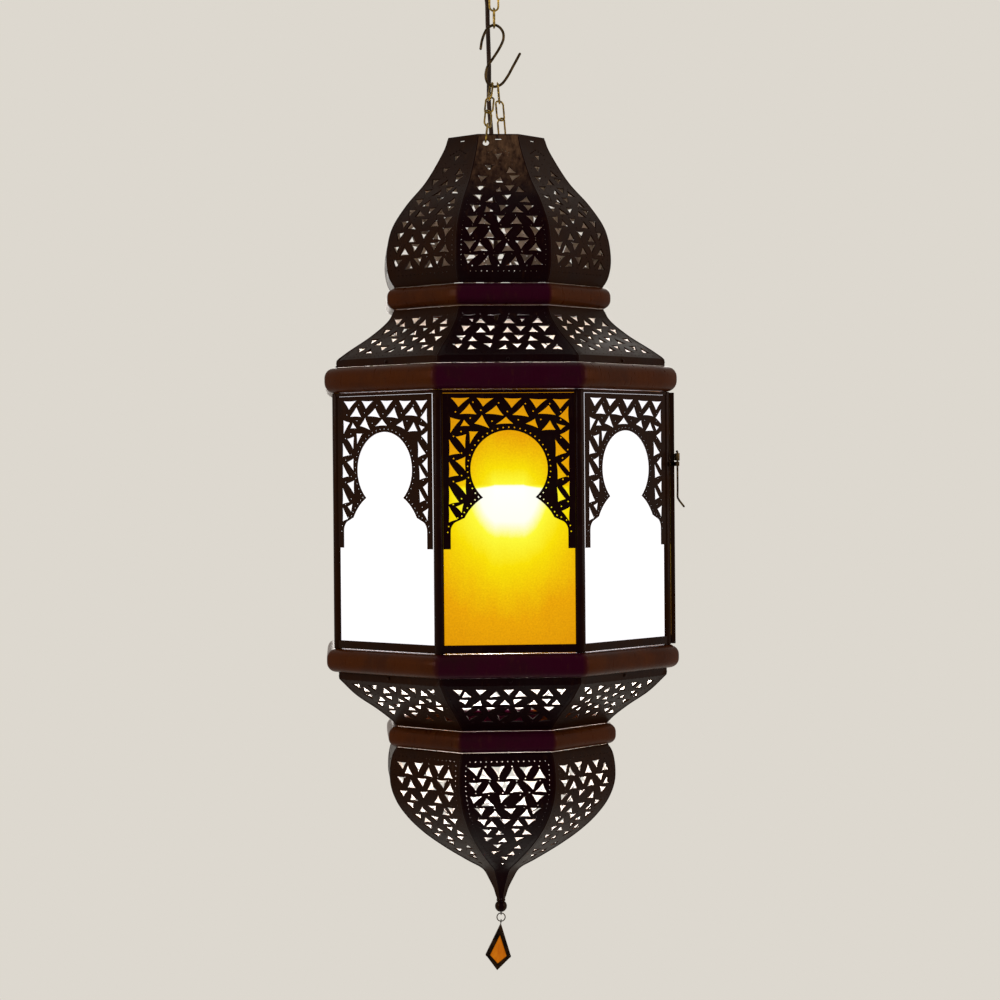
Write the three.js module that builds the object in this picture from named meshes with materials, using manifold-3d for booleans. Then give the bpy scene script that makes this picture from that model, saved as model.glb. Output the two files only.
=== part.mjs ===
// Octagonal hanging lantern of pierced, lacquered sheet metal with amber and frosted panes.
// It hangs from a ceiling hook by a short chain, an S hook and two chain strands.
// Units are millimetres, +Z is up, the front window faces -Y and the door faces +X.
// The origin is the ceiling face at the middle of the ceiling plate.
import * as THREE from "three";
import { mergeVertices } from "three/addons/utils/BufferGeometryUtils.js";
import Module from "manifold-3d";

const wasm = await Module();
wasm.setup();

// Clearances
const SEAT_GAP = 0.3; // left between pieces that rest on, or are soldered to, each other
const RUNNING_GAP = 0.35; // round pins and wires that move in their holes
const CHAIN_GAP = 0.4; // between wires that hang in one another

// Ceiling fitting
const CANOPY_R = 46;
const CANOPY_H = 28;
const CANOPY_WALL = 1.2;
const CANOPY_FLAT_SHARE = 0.5; // of its radius, to the edge of its flat underside
const CANOPY_BEND_SHARE = 0.86; // of its radius, to the bend below the shoulder
const CANOPY_SHOULDER_H = 15.4; // from its underside up to its full width
const PLATE_R = 34;
const PLATE_T = 2.5;
const HOOK_WIRE = 3;
const HOOK_DROP = 16; // from the canopy's underside to the middle of the wire at the bend
const HOOK_BEND_R = 5.4; // to the middle of the wire
const HOOK_STEPS = 22;
const COLLAR_R = 5;
const COLLAR_H = 2.6;
const GLAND_R = 4.5;
const GLAND_H = 8;
const GLAND_X = -10;
const GLAND_Y = 6;
const GLAND_WALL = 1;
const GLAND_REACH = 2; // above the canopy's sheet

// Chain between the ceiling hook and the S hook
const UPPER_LINK_LENGTH = 20;
const UPPER_LINK_WIDTH = 10.2;
const UPPER_LINK_WIRE = 1.9;
const UPPER_LINKS = 3;

// S hook
const S_HOOK_HEIGHT = 58.3; // between the wire's middles at the two bends
const S_HOOK_WIRE = 2.5;
const S_HOOK_STEPS = 30;

// The two chain strands that carry the lantern
const STRAND_LINK_LENGTH = 23.1;
const STRAND_LINK_WIDTH = 9.5;
const STRAND_LINK_WIRE = 1.8;
const STRAND_LINKS = 4;
const STRAND_SPREAD = 3.2; // from the S hook's middle to each strand's seat on its bend
const STRAND_SEAT_GAP = 0.8;
const STRAND_SEAT_RISE = 0.45; // the S hook's bend is this much higher at a strand's seat
const FRONT_TWISTS = [30, 84, 138, 192]; // how far each link is turned about its strand, degrees
const BACK_TWISTS = [10, 70, 130, 186];

// Electric cable, lamp holder and bulb
const CABLE_D = 4.2;
const HOLDER_R = 20;
const HOLDER_H = 56;
const HOLDER_BORE_R = 14.4;
const HOLDER_BORE_DEPTH = 30;
const GRIP_R = 7;
const GRIP_H = 12;
const GRIP_TAPER = 0.55;
const HOLDER_TAPER = 0.62;
const CAP_R = 13.2;
const CAP_H = 26;
const CAP_CONE_H = 4;
const CAP_SHOW = 2; // of the bulb's neck below the holder
const BULB_R = 30;
const BULB_WAIST_SHARE = 0.72; // of the bulb's seam, where its body narrows
const BULB_BODY_H = 46;
const DIFFUSER_H = 40;
const DIFFUSER_SHARE = 0.62; // of a half turn, from the bulb's lowest point round to its seam
const DIFFUSER_STEPS = 6;
const BULB_DROP = 367.5; // from the dome's rim to the bottom of the bulb

// Sheet metal tiers: radii are to the corners of the octagon, on the outside
const SHEET = 1.2;
const BODY_R = 168;
const RIM_R = 48.8;
const DOME_R = 113;
const DOME_H = 141.9;
const STRAND_HOLE_R = 3.2;
const STRAND_HOLE_DEPTH = 8.6; // from the rim down to the hole's middle
const STRAND_HOLE_SIDE = 11.7; // from the panel's middle line
const UPPER_NECK_TUCK = 7.5; // how far inside the dome's widest corners
const FLARE_TUCK = 4; // how far the flares' lips are inside the body's corners
const UPPER_FLARE_H = 54;
const LOWER_FLARE_H = 52.4;
const FLARE_LIP_H = 5.8;
const BOWL_R = 113.5;
const BOWL_TUCK = 6.5; // how far the bowl's mouth is inside its widest corners
const LOWER_NECK_TUCK = 1; // how far inside the bowl's mouth
const BOWL_H = 120.5;
const SPIRE_H = 29.5;
const SPIRE_TOP_R = 18.4;
const SPIRE_TIP_R = 4.2;

// Half-round mouldings
const RING_WALL = 1.2;
const RING_FLANGE = 14; // how far each moulding's flanges reach inwards from its face
const RING_BEND_SHARE = 0.42; // of a moulding's height, to the radius of its bends
const RING_BEND_STEPS = 3;
const MAIN_RING_OUT = 8; // past the body's corners
const UPPER_MAIN_RING_H = 23.4;
const LOWER_MAIN_RING_H = 21.3;
const UPPER_SMALL_RING_OUT = 7.2; // past the upper neck's corners
const UPPER_SMALL_RING_H = 20.2;
const LOWER_SMALL_RING_OUT = 8; // past the bowl's mouth
const LOWER_SMALL_RING_H = 19.2;

// Body with its eight windows
const BODY_H = 233.4;
const SCREEN_INSET = 0.6; // from the flat between the body's corners in to the screens
const POST_R = 4.5;
const POST_SIDES = 10;
const TOP_RAIL_H = 3;
const BOTTOM_RAIL_H = 7.8;
const RAIL_SET_IN = 0.5; // the rails stop this far short of the posts' ends
const SCREEN_T = 1.2;
const PANE_T = 2.8;
const FIELD_TOP_MARGIN = 8.6; // plain band above the screen's holes
const FIELD_SIDE_MARGIN = 4.4;
const SCREEN_H = 137.5;
const ARCH_R = 34.2;
const ARCH_DEPTH = 67; // from the screen's top to the middle of the round arch
const ARCH_NECK_W = 46.4;
const LOBE_R = 44.5;
const ARCH_FOOT_W = 104;
const ARCH_FOOT_H = 14.6;
const SHOULDER_W = 79.4;
const FIELD_ROW_H = 15;
const FIELD_SAG = 0.8; // how much lower a row of holes is at the sides
const FIELD_COLUMNS = 5;
const SIDE_HOLES = 3;
const SIDE_HOLE_PITCH = 27;
const SIDE_HOLE_W = 14;
const SIDE_HOLE_DROP = 8; // from the top row down to the first hole at the sides

// Door on the right-hand face
const DOOR_T = 4;
const DOOR_RAIL = 8;
const DOOR_STANDOFF = 0.45; // between the corner posts and the door's back
const DOOR_END_GAP = 0.6; // above and below the door
const DOOR_EDGE_PAST = 0.43; // how far the door's edges reach past the middles of its two posts
const DOOR_SCREEN_T = 0.8;
const KNUCKLE_R = 2.6;
const KNUCKLE_H = 7;
const HINGE_PIN_R = 1.1;
const HINGE_INSET = 36; // from the door's ends to its hinges
const HINGE_PAST = 3.93; // from the middle of the rear post to the hinge pins
const HINGE_OUT = 0.5; // from the door's face out to the hinge pins
const HINGE_HEAD_T = 1.2;
const LUG_T = 2;
const LUG_SEAT_SHARE = 0.32; // of the post's radius, where the body's lugs end inside it

// Drop-pin latch
const LATCH_WIRE = 1.9;
const LATCH_PAST = 3.43; // from the middle of the front post to the pin
const LATCH_DROP = 56; // from the door's top to the staple's top
const STAPLE_H = 7;
const STAPLE_REACH = 4;
const STAPLE_END = 2; // past the pin's middle
const STAPLE_HOLD = 6; // from the door's edge inwards
const KEEPER_H = 4;
const KEEPER_W = 5.3;
const KEEPER_END = 3; // past the pin's middle
const KEEPER_LIP = 1.5; // outside the pin's middle
const KEEPER_DROP = 1; // below the staple
const KEEPER_SEAT = 0.1; // from the post
const KEEPER_PLAY = 0.1; // added to the slot on each side
const PIN_STRAIGHT = 43;
const PIN_TAIL_OUT = 6;
const PIN_TAIL_DOWN = 8;
const PIN_STEPS = 26;

// Finial and pendant
const FLANGE_R = 4.3;
const FLANGE_H = 2.4;
const BALL_R = 5.7;
const BALL_STEPS = 8;
const BALL_CUT_SHARE = 0.75; // of its radius, from its middle up to its flat top
const EYE_R = 1.7; // to the middle of the wire
const EYE_WIRE = 1.1;
const EYE_SINK = 0.8; // of the ball's eye into the ball
const PENDANT_EYE_SINK = 0.2; // of the pendant's eye into its top corner
const RING_R = 3.9;
const RING_WIRE = 1.2;
const PENDANT_H = 44.8;
const PENDANT_W = 24.3;
const PENDANT_WIDEST = 0.69; // share of its height, from the top
const CAME_W = 3.6;
const CAME_T = 4;
const PENDANT_GLASS_T = 2.4;
const PENDANT_LEAN = 5; // degrees, foot to the left

// Facets
const ROUND_SIDES = 24;
const WIRE_SIDES = 6;
const HOLE_SIDES = 8;
const LINK_STEPS = 12;

// Radii that follow from others, so that each piece keeps its seat
const UPPER_NECK_R = DOME_R - UPPER_NECK_TUCK;
const FLARE_R = BODY_R - FLARE_TUCK;
const BOWL_TOP_R = BOWL_R - BOWL_TUCK;
const LOWER_NECK_R = BOWL_TOP_R - LOWER_NECK_TUCK;
const MAIN_RING_R = BODY_R + MAIN_RING_OUT;
const UPPER_SMALL_RING_R = UPPER_NECK_R + UPPER_SMALL_RING_OUT;
const LOWER_SMALL_RING_R = BOWL_TOP_R + LOWER_SMALL_RING_OUT;

const SIDES = 8;
const HALF_TURN = Math.PI;
const PANEL_ANGLE = (2 * HALF_TURN) / SIDES;
const FLAT = Math.cos(PANEL_ANGLE / 2); // from a corner radius to the distance of a flat side
const SLOPE = Math.tan(PANEL_ANGLE / 2); // half a side's width over that distance
const DOOR_PANEL = 2;
const RAD = HALF_TURN / 180;

// Materials
const lacquer = new THREE.MeshStandardMaterial({ color: 0x2a1712, roughness: 0.38, metalness: 0.7 });
const iron = new THREE.MeshStandardMaterial({ color: 0x2c2018, roughness: 0.55, metalness: 0.8 });
const brass = new THREE.MeshStandardMaterial({ color: 0xb08a35, roughness: 0.3, metalness: 1 });
const amber = new THREE.MeshStandardMaterial({ color: 0xf0a000, roughness: 0.5, metalness: 0 });
const frosted = new THREE.MeshStandardMaterial({ color: 0xf4f2ec, roughness: 0.6, metalness: 0 });
const cableSheath = new THREE.MeshStandardMaterial({ color: 0x3b2616, roughness: 0.6, metalness: 0 });
const blackPlastic = new THREE.MeshStandardMaterial({ color: 0x17130f, roughness: 0.5, metalness: 0 });
const whitePlastic = new THREE.MeshStandardMaterial({ color: 0xe9e6dd, roughness: 0.5, metalness: 0 });

// Geometry helpers

// The same surface with shared vertices and no collapsed triangles.
function weld(geometry) {
  const bare = new THREE.BufferGeometry();
  bare.setAttribute("position", geometry.getAttribute("position").clone());
  if (geometry.index) bare.setIndex(geometry.index.clone());
  const merged = mergeVertices(bare, 1e-4);
  const kept = [];
  const index = merged.index.array;
  for (let i = 0; i < index.length; i += 3) {
    const [a, b, c] = [index[i], index[i + 1], index[i + 2]];
    if (a !== b && b !== c && c !== a) kept.push(a, b, c);
  }
  merged.setIndex(kept);
  return merged;
}

function toSolid(geometry) {
  const welded = weld(geometry);
  return new wasm.Manifold(
    new wasm.Mesh({
      numProp: 3,
      vertProperties: new Float32Array(welded.attributes.position.array),
      triVerts: new Uint32Array(welded.index.array),
    }),
  );
}

function toGeometry(solid) {
  const mesh = solid.getMesh();
  const geometry = new THREE.BufferGeometry();
  const position = new Float32Array(mesh.numVert * 3);
  for (let i = 0; i < mesh.numVert; i++) {
    const at = i * mesh.numProp;
    position.set(mesh.vertProperties.subarray(at, at + 3), i * 3);
  }
  geometry.setAttribute("position", new THREE.BufferAttribute(position, 3));
  geometry.setIndex(new THREE.BufferAttribute(new Uint32Array(mesh.triVerts), 1));
  return geometry;
}

function joined(...geometries) {
  return toGeometry(geometries.map(toSolid).reduce((whole, next) => whole.add(next)));
}

function cut(geometry, ...tools) {
  return toGeometry(tools.map(toSolid).reduce((left, tool) => left.subtract(tool), toSolid(geometry)));
}

function box([x0, x1], [y0, y1], [z0, z1]) {
  const geometry = new THREE.BoxGeometry(x1 - x0, y1 - y0, z1 - z0);
  return geometry.translate((x0 + x1) / 2, (y0 + y1) / 2, (z0 + z1) / 2);
}

function rod(radius, [z0, z1], x = 0, y = 0, sides = 12) {
  const geometry = new THREE.CylinderGeometry(radius, radius, z1 - z0, sides);
  return geometry.rotateX(HALF_TURN / 2).translate(x, y, (z0 + z1) / 2);
}

// A solid of revolution about Z. The profile's points are [radius, z] from the bottom to the top.
function turned(profile, sides = ROUND_SIDES) {
  const points = profile.map(([radius, z]) => new THREE.Vector2(radius, z));
  return new THREE.LatheGeometry(points, sides).rotateX(HALF_TURN / 2);
}

// A round wire along a smooth curve through points, with flat ends.
function wire(points, diameter, steps, sides = WIRE_SIDES) {
  const section = new THREE.Shape();
  for (let i = 0; i < sides; i++) {
    const angle = (2 * HALF_TURN * i) / sides;
    const at = [(diameter / 2) * Math.cos(angle), (diameter / 2) * Math.sin(angle)];
    if (i) section.lineTo(...at);
    else section.moveTo(...at);
  }
  const path = new THREE.CatmullRomCurve3(points.map((p) => new THREE.Vector3(...p)), false, "centripetal");
  return new THREE.ExtrudeGeometry(section, { steps, extrudePath: path, bevelEnabled: false });
}

// A chain link in the XZ plane, its long axis upright: a ring drawn out to the link's length.
function link(length, width, thick) {
  const geometry = new THREE.TorusGeometry((width - thick) / 2, thick / 2, WIRE_SIDES, LINK_STEPS);
  const position = geometry.getAttribute("position");
  const half = (length - width) / 2;
  for (let i = 0; i < position.count; i++) {
    const y = position.getY(i);
    if (Math.abs(y) > thick / 2) position.setY(i, y + Math.sign(y) * half);
  }
  return geometry.rotateX(HALF_TURN / 2);
}

// A small wire eye whose hole faces along X.
function eye(z) {
  const geometry = new THREE.TorusGeometry(EYE_R, EYE_WIRE / 2, WIRE_SIDES, LINK_STEPS);
  return geometry.rotateY(HALF_TURN / 2).translate(0, 0, z);
}

function meshOf(vertices, faces) {
  const geometry = new THREE.BufferGeometry();
  geometry.setAttribute("position", new THREE.Float32BufferAttribute(vertices.flat(), 3));
  geometry.setIndex(faces.flat());
  return geometry;
}

// The corner between panel k - 1 and panel k, at a flat distance.
function atCorner(k, flat, z) {
  const angle = (k - 0.5) * PANEL_ANGLE;
  return [(flat / FLAT) * Math.sin(angle), (-flat / FLAT) * Math.cos(angle), z];
}

// An octagonal ring: a closed section of [flat distance, z] points, anticlockwise, carried round the corners.
function octagonRing(section) {
  const vertices = [];
  const faces = [];
  const n = section.length;
  for (let k = 0; k < SIDES; k++) {
    for (const [flat, z] of section) vertices.push(atCorner(k, flat, z));
    for (let i = 0; i < n; i++) {
      const a = k * n + i;
      const b = k * n + ((i + 1) % n);
      const c = ((k + 1) % SIDES) * n + ((i + 1) % n);
      const d = ((k + 1) % SIDES) * n + i;
      faces.push([a, d, c], [a, c, b]);
    }
  }
  return meshOf(vertices, faces);
}

// Where a point lies on a flat panel: across and up are in the panel's plane, out is the flat distance.
function onPanel(panel, across, out, z) {
  const angle = panel * PANEL_ANGLE;
  return [
    out * Math.sin(angle) + across * Math.cos(angle),
    -out * Math.cos(angle) + across * Math.sin(angle),
    z,
  ];
}

// The outside profile of a tier moved inwards by the sheet's thickness, its two ends kept level.
function insideOf(profile, thickness) {
  const normals = profile.slice(1).map(([flat, z], i) => {
    const [dx, dz] = [flat - profile[i][0], z - profile[i][1]];
    const long = Math.hypot(dx, dz);
    return [-dz / long, dx / long];
  });
  return profile.map(([flat, z], i) => {
    if (i === 0) return [flat - thickness / normals[0][0], z];
    if (i === normals.length) return [flat - thickness / normals[i - 1][0], z];
    const [a, b] = [normals[i - 1], normals[i]];
    const share = thickness / (1 + a[0] * b[0] + a[1] * b[1]);
    return [flat - (a[0] + b[0]) * share, z - (a[1] + b[1]) * share];
  });
}

// One tier of sheet: eight panels bent along the rows of a profile of [flat distance, z] from top to bottom.
// holesIn(row, panel) gives the holes as loops of [across, down], each from -1 to 1 and from 0 to 1.
function tier(profile, thickness, holesIn) {
  const skins = [profile, insideOf(profile, thickness)];
  const vertices = [];
  const faces = [];
  const rows = profile.length - 1;
  for (let panel = 0; panel < SIDES; panel++) {
    for (let row = 0; row < rows; row++) {
      const [[topFlat, topZ], [lowFlat, lowZ]] = [profile[row], profile[row + 1]];
      const drop = Math.hypot(lowFlat - topFlat, lowZ - topZ);
      const flatOf = ([across, down]) =>
        new THREE.Vector2(across * SLOPE * (topFlat + (lowFlat - topFlat) * down), -down * drop);
      const contour = [[-1, 1], [1, 1], [1, 0], [-1, 0]];
      const holes = holesIn(row, panel).map((hole) =>
        THREE.ShapeUtils.isClockWise(hole.map(flatOf)) ? hole : [...hole].reverse(),
      );
      const loops = [contour, ...holes];
      const first = vertices.length;
      const count = loops.flat().length;
      for (const skin of skins) {
        const [[flat0, z0], [flat1, z1]] = [skin[row], skin[row + 1]];
        for (const [across, down] of loops.flat()) {
          const flat = flat0 * (1 - down) + flat1 * down;
          const z = z0 * (1 - down) + z1 * down;
          const corner = (panel + (across + 1) / 2) % SIDES;
          if (Math.abs(across) === 1) vertices.push(atCorner(corner, flat, z));
          else vertices.push(onPanel(panel, across * SLOPE * flat, flat, z));
        }
      }
      const flatHoles = holes.map((hole) => hole.map(flatOf));
      for (const [a, b, c] of THREE.ShapeUtils.triangulateShape(contour.map(flatOf), flatHoles)) {
        faces.push([first + a, first + b, first + c]);
        faces.push([first + count + c, first + count + b, first + count + a]);
      }
      const wall = (a, b) => {
        faces.push([first + count + a, first + count + b, first + b]);
        faces.push([first + count + a, first + b, first + a]);
      };
      if (row === rows - 1) wall(0, 1);
      if (row === 0) wall(2, 3);
      let start = contour.length;
      for (const hole of holes) {
        hole.forEach((_, i) => wall(start + i, start + ((i + 1) % hole.length)));
        start += hole.length;
      }
    }
  }
  return meshOf(vertices, faces);
}

// A row of triangular holes, alternately point up and point down, that sags a little to both sides.
function zigzag(count, margin = 0.14) {
  const pitch = (2 * (1 - margin)) / (count + 1);
  const half = 0.8 * pitch;
  const [high, low, sag] = [0.14, 0.82, 0.04];
  return Array.from({ length: count }, (_, i) => {
    const middle = margin - 1 + pitch * (i + 1);
    const [base, tip] = i % 2 ? [high, low] : [low, high];
    const corners = [[middle - half, base], [middle + half, base], [middle, tip]];
    return corners.map(([across, down]) => [across, down + sag * across ** 2]);
  });
}

// Profiles of the tiers, as [share of the radius step, share of the height] from the top
const DOME_SHARES = [
  [0, 0],
  [0.14, 0.144],
  [0.375, 0.308],
  [0.695, 0.471],
  [0.925, 0.634],
  [1, 0.82],
  [0.96, 0.935],
  [0.88, 1],
];
const UPPER_FLARE_SHARES = [[0, 0], [0.09, 0.2], [0.39, 0.51], [0.79, 0.82], [1, 1]];
const LOWER_FLARE_SHARES = [[1, 0], [0.71, 0.33], [0.35, 0.63], [0.09, 0.88], [0, 1]];
const BOWL_TOP_SHARES = [[0, 0], [0.72, 0.28], [1, 1]];
const BOWL_FOOT_SHARES = [[0.937, 0.2], [0.815, 0.38], [0.647, 0.55], [0.427, 0.72], [0.17, 0.89], [0, 1]];
const SPIRE_SHARES = [[0.57, 0.33], [0.22, 0.66], [0, 1]];
const BOWL_BULGE_SHARE = 0.265; // of the bowl's height, down to its widest place
const DOME_HOLES = [0, 3, 3, 3, 3, 0, 0];
const UPPER_FLARE_HOLES = [0, 3, 5, 0, 0];
const LOWER_FLARE_HOLES = [0, 5, 3, 0, 0];
const BOWL_HOLES = [0, 5, 3, 3, 0, 0, 0, 0];

const profileOf = (shares, [r0, r1], [z0, z1]) =>
  shares.map(([step, down]) => [(r0 + (r1 - r0) * step) * FLAT, z0 + (z1 - z0) * down]);

const holesByRow = (counts) => (row) => (counts[row] ? zigzag(counts[row]) : []);

// Heights, worked out from the ceiling down
const canopyLowZ = -CANOPY_H;
const hookZ = canopyLowZ - HOOK_DROP;
const upperReach = UPPER_LINK_LENGTH - UPPER_LINK_WIRE; // between a link's wire middles
const upperPitch = upperReach - UPPER_LINK_WIRE - CHAIN_GAP;
const firstLinkZ = hookZ + (HOOK_WIRE + UPPER_LINK_WIRE) / 2 + CHAIN_GAP - upperReach / 2;
const upperLinkZ = (i) => firstLinkZ - i * upperPitch;
const lastUpperWireZ = upperLinkZ(UPPER_LINKS - 1) - upperReach / 2;
const sHookTopZ = lastUpperWireZ + (UPPER_LINK_WIRE + S_HOOK_WIRE) / 2 + CHAIN_GAP;
const sHookLowZ = sHookTopZ - S_HOOK_HEIGHT;
const strandSeatZ = sHookLowZ + STRAND_SEAT_RISE;
const strandReach = STRAND_LINK_LENGTH - STRAND_LINK_WIRE;
const strandPitch = strandReach - STRAND_LINK_WIRE - SEAT_GAP;
const strandTopOffset = -(S_HOOK_WIRE + STRAND_LINK_WIRE) / 2 - STRAND_SEAT_GAP;
const strandLength = strandTopOffset + (STRAND_LINKS - 1) * strandPitch + strandReach;

// The strands' lower ends pass through holes in the dome's neck, so they set the lantern's height
const neckFlatAt = (depth) => {
  const [step, down] = DOME_SHARES[1];
  return (RIM_R + ((DOME_R - RIM_R) * step * depth) / (down * DOME_H)) * FLAT;
};
const strandFootFlat = neckFlatAt(STRAND_HOLE_DEPTH) - SHEET / 2;
const strandOut = Math.hypot(STRAND_HOLE_SIDE - STRAND_SPREAD, strandFootFlat);
const strandFootZ = strandSeatZ - Math.sqrt(strandLength ** 2 - strandOut ** 2);
const strandHoleZ = strandFootZ - (STRAND_HOLE_R - STRAND_LINK_WIRE / 2 - SEAT_GAP);

const rimZ = strandHoleZ + STRAND_HOLE_DEPTH;
const domeLowZ = rimZ - DOME_H;
const upperSmallRingZ = domeLowZ - SEAT_GAP;
const upperFlareZ = upperSmallRingZ - UPPER_SMALL_RING_H - SEAT_GAP;
const upperMainRingZ = upperFlareZ - UPPER_FLARE_H - SEAT_GAP;
const bodyTopZ = upperMainRingZ - UPPER_MAIN_RING_H - SEAT_GAP;
const bodyLowZ = bodyTopZ - BODY_H;
const lowerMainRingZ = bodyLowZ - SEAT_GAP;
const lowerFlareZ = lowerMainRingZ - LOWER_MAIN_RING_H - SEAT_GAP;
const lowerSmallRingZ = lowerFlareZ - LOWER_FLARE_H - SEAT_GAP;
const bowlTopZ = lowerSmallRingZ - LOWER_SMALL_RING_H - SEAT_GAP;
const spireTopZ = bowlTopZ - BOWL_H;
const spireLowZ = spireTopZ - SPIRE_H;

// Flat distances of the body's layers, from the outside in
const bodyFlat = BODY_R * FLAT;
const screenFlat = bodyFlat - SCREEN_INSET;
const screenBackFlat = screenFlat - SCREEN_T;
const paneFlat = screenBackFlat - SEAT_GAP;
const paneBackFlat = paneFlat - PANE_T;
const postCentreR = BODY_R - POST_R;
const postFlat = postCentreR * FLAT;
const postSide = postCentreR * Math.sin(PANEL_ANGLE / 2);
const railTopZ = bodyTopZ - TOP_RAIL_H;
const railLowZ = bodyLowZ + BOTTOM_RAIL_H;
const postHalfAt = (flat) => Math.sqrt(Math.max(POST_R ** 2 - (flat - postFlat) ** 2, 0));
const screenHalf = postSide - postHalfAt(screenBackFlat) - SEAT_GAP;
const paneHalf = postSide - POST_R - SEAT_GAP;

const lantern = new THREE.Group();

function piece(name, geometry, material, parent = lantern) {
  const mesh = new THREE.Mesh(weld(geometry), material);
  mesh.geometry.computeVertexNormals();
  mesh.name = name;
  parent.add(mesh);
  return mesh;
}

// A group turned to a panel: its X runs along the panel, its Y outwards from it is negative, and Z is up.
function panelGroup(panel) {
  const group = new THREE.Group();
  group.rotation.z = panel * PANEL_ANGLE;
  lantern.add(group);
  return group;
}

// A flat plate in a panel's plane: the shape's X runs along the panel and its Y upwards.
function plate(shape, thickness, backFlat) {
  const geometry = new THREE.ExtrudeGeometry(shape, { depth: thickness, bevelEnabled: false });
  return geometry.rotateX(HALF_TURN / 2).translate(0, -backFlat, 0);
}

// The ceiling hook's bend, as [x, height above the bend's middle] in shares of its radius.
const HOOK_SHARES = [
  [0, 1.7],
  [0.5, 1.1],
  [1, 0.25],
  [0.76, -0.65],
  [0, -1],
  [-0.76, -0.65],
  [-1.05, 0.3],
];

function makeCeilingFitting() {
  piece("ceiling_plate", rod(PLATE_R, [-PLATE_T, 0], 0, 0, ROUND_SIDES), iron);
  const inner = CANOPY_R - CANOPY_WALL;
  const shoulderZ = canopyLowZ + CANOPY_SHOULDER_H;
  const flatR = CANOPY_FLAT_SHARE * CANOPY_R;
  const bendR = CANOPY_BEND_SHARE * CANOPY_R;
  const bendZ = canopyLowZ + CANOPY_SHOULDER_H / 4;
  const bore = HOOK_WIRE / 2 + RUNNING_GAP;
  const shell = turned([
    [bore, canopyLowZ],
    [flatR, canopyLowZ],
    [bendR, bendZ],
    [CANOPY_R, shoulderZ],
    [CANOPY_R, 0],
    [inner, 0],
    [inner, shoulderZ],
    [bendR - CANOPY_WALL, bendZ + CANOPY_WALL],
    [flatR, canopyLowZ + CANOPY_WALL],
    [bore, canopyLowZ + CANOPY_WALL],
    [bore, canopyLowZ],
  ]);
  const glandNeckR = CABLE_D / 2 + GLAND_WALL;
  const holeZs = [canopyLowZ - CANOPY_WALL, canopyLowZ + 2 * CANOPY_WALL];
  const glandHole = rod(glandNeckR + SEAT_GAP, holeZs, GLAND_X, GLAND_Y, 16);
  piece("ceiling_canopy", cut(shell, glandHole), lacquer);

  const shankTopZ = -PLATE_T - SEAT_GAP;
  const bendMiddleZ = hookZ + HOOK_BEND_R;
  const collarTopZ = canopyLowZ - SEAT_GAP;
  const bend = HOOK_SHARES.map(([x, up]) => [x * HOOK_BEND_R, 0, bendMiddleZ + up * HOOK_BEND_R]);
  const hookWire = wire([[0, 0, shankTopZ], [0, 0, canopyLowZ], ...bend], HOOK_WIRE, HOOK_STEPS);
  const collar = rod(COLLAR_R, [collarTopZ - COLLAR_H, collarTopZ], 0, 0, 6);
  piece("ceiling_hook", joined(hookWire, collar), iron);

  const gland = turned([
    [0, canopyLowZ - GLAND_H],
    [0.7 * GLAND_R, canopyLowZ - GLAND_H],
    [GLAND_R, canopyLowZ - 0.4 * GLAND_H],
    [GLAND_R, canopyLowZ - SEAT_GAP],
    [glandNeckR, canopyLowZ - SEAT_GAP],
    [glandNeckR, canopyLowZ + CANOPY_WALL + GLAND_REACH],
    [0, canopyLowZ + CANOPY_WALL + GLAND_REACH],
  ], 16);
  piece("cable_gland", gland, blackPlastic).position.set(GLAND_X, GLAND_Y, 0);
}

function makeUpperChain() {
  for (let i = 0; i < UPPER_LINKS; i++) {
    const geometry = link(UPPER_LINK_LENGTH, UPPER_LINK_WIDTH, UPPER_LINK_WIRE);
    const mesh = piece(`upper_link_${i + 1}`, geometry, brass);
    mesh.position.z = upperLinkZ(i);
    mesh.rotation.z = i % 2 ? 0 : HALF_TURN / 2;
  }
}

// The S hook's shape, as x in millimetres and the share of its height above the lower bend.
const S_HOOK_POINTS = [
  [24.2, 0.532],
  [17.8, 0.333],
  [11.9, 0.153],
  [6.2, 0.036],
  [0, 0],
  [-5.8, 0.043],
  [-8.3, 0.166],
  [-6.7, 0.316],
  [-2.3, 0.432],
  [4.6, 0.614],
  [8.6, 0.763],
  [8.6, 0.872],
  [5.2, 0.962],
  [0, 1],
  [-6.6, 0.935],
  [-11.3, 0.763],
  [-12.9, 0.614],
];

function makeSHook() {
  const points = S_HOOK_POINTS.map(([x, share]) => [x, 0, sHookLowZ + share * S_HOOK_HEIGHT]);
  piece("s_hook", wire(points, S_HOOK_WIRE, S_HOOK_STEPS), iron);
}

// A strand runs straight from the S hook's lower bend to its hole in the dome's neck.
function makeStrand(name, direction, twists) {
  const seat = new THREE.Vector3(direction * STRAND_SPREAD, 0, strandSeatZ);
  const foot = new THREE.Vector3(direction * STRAND_HOLE_SIDE, direction * strandFootFlat, strandFootZ);
  const along = foot.clone().sub(seat).normalize();
  const across = new THREE.Vector3(along.x, along.y, 0).normalize();
  const upright = along.clone().negate();
  const side = new THREE.Vector3().crossVectors(upright, across).normalize();
  const outward = new THREE.Vector3().crossVectors(side, upright);
  for (let i = 0; i < STRAND_LINKS; i++) {
    const middle = strandTopOffset + i * strandPitch + strandReach / 2;
    const geometry = link(STRAND_LINK_LENGTH, STRAND_LINK_WIDTH, STRAND_LINK_WIRE);
    geometry.rotateZ(twists[i] * RAD);
    const mesh = piece(`${name}_chain_link_${i + 1}`, geometry, brass);
    const turn = new THREE.Matrix4().makeBasis(outward, side.clone(), upright);
    mesh.quaternion.setFromRotationMatrix(turn);
    mesh.position.copy(seat).addScaledVector(along, middle);
  }
}

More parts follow.
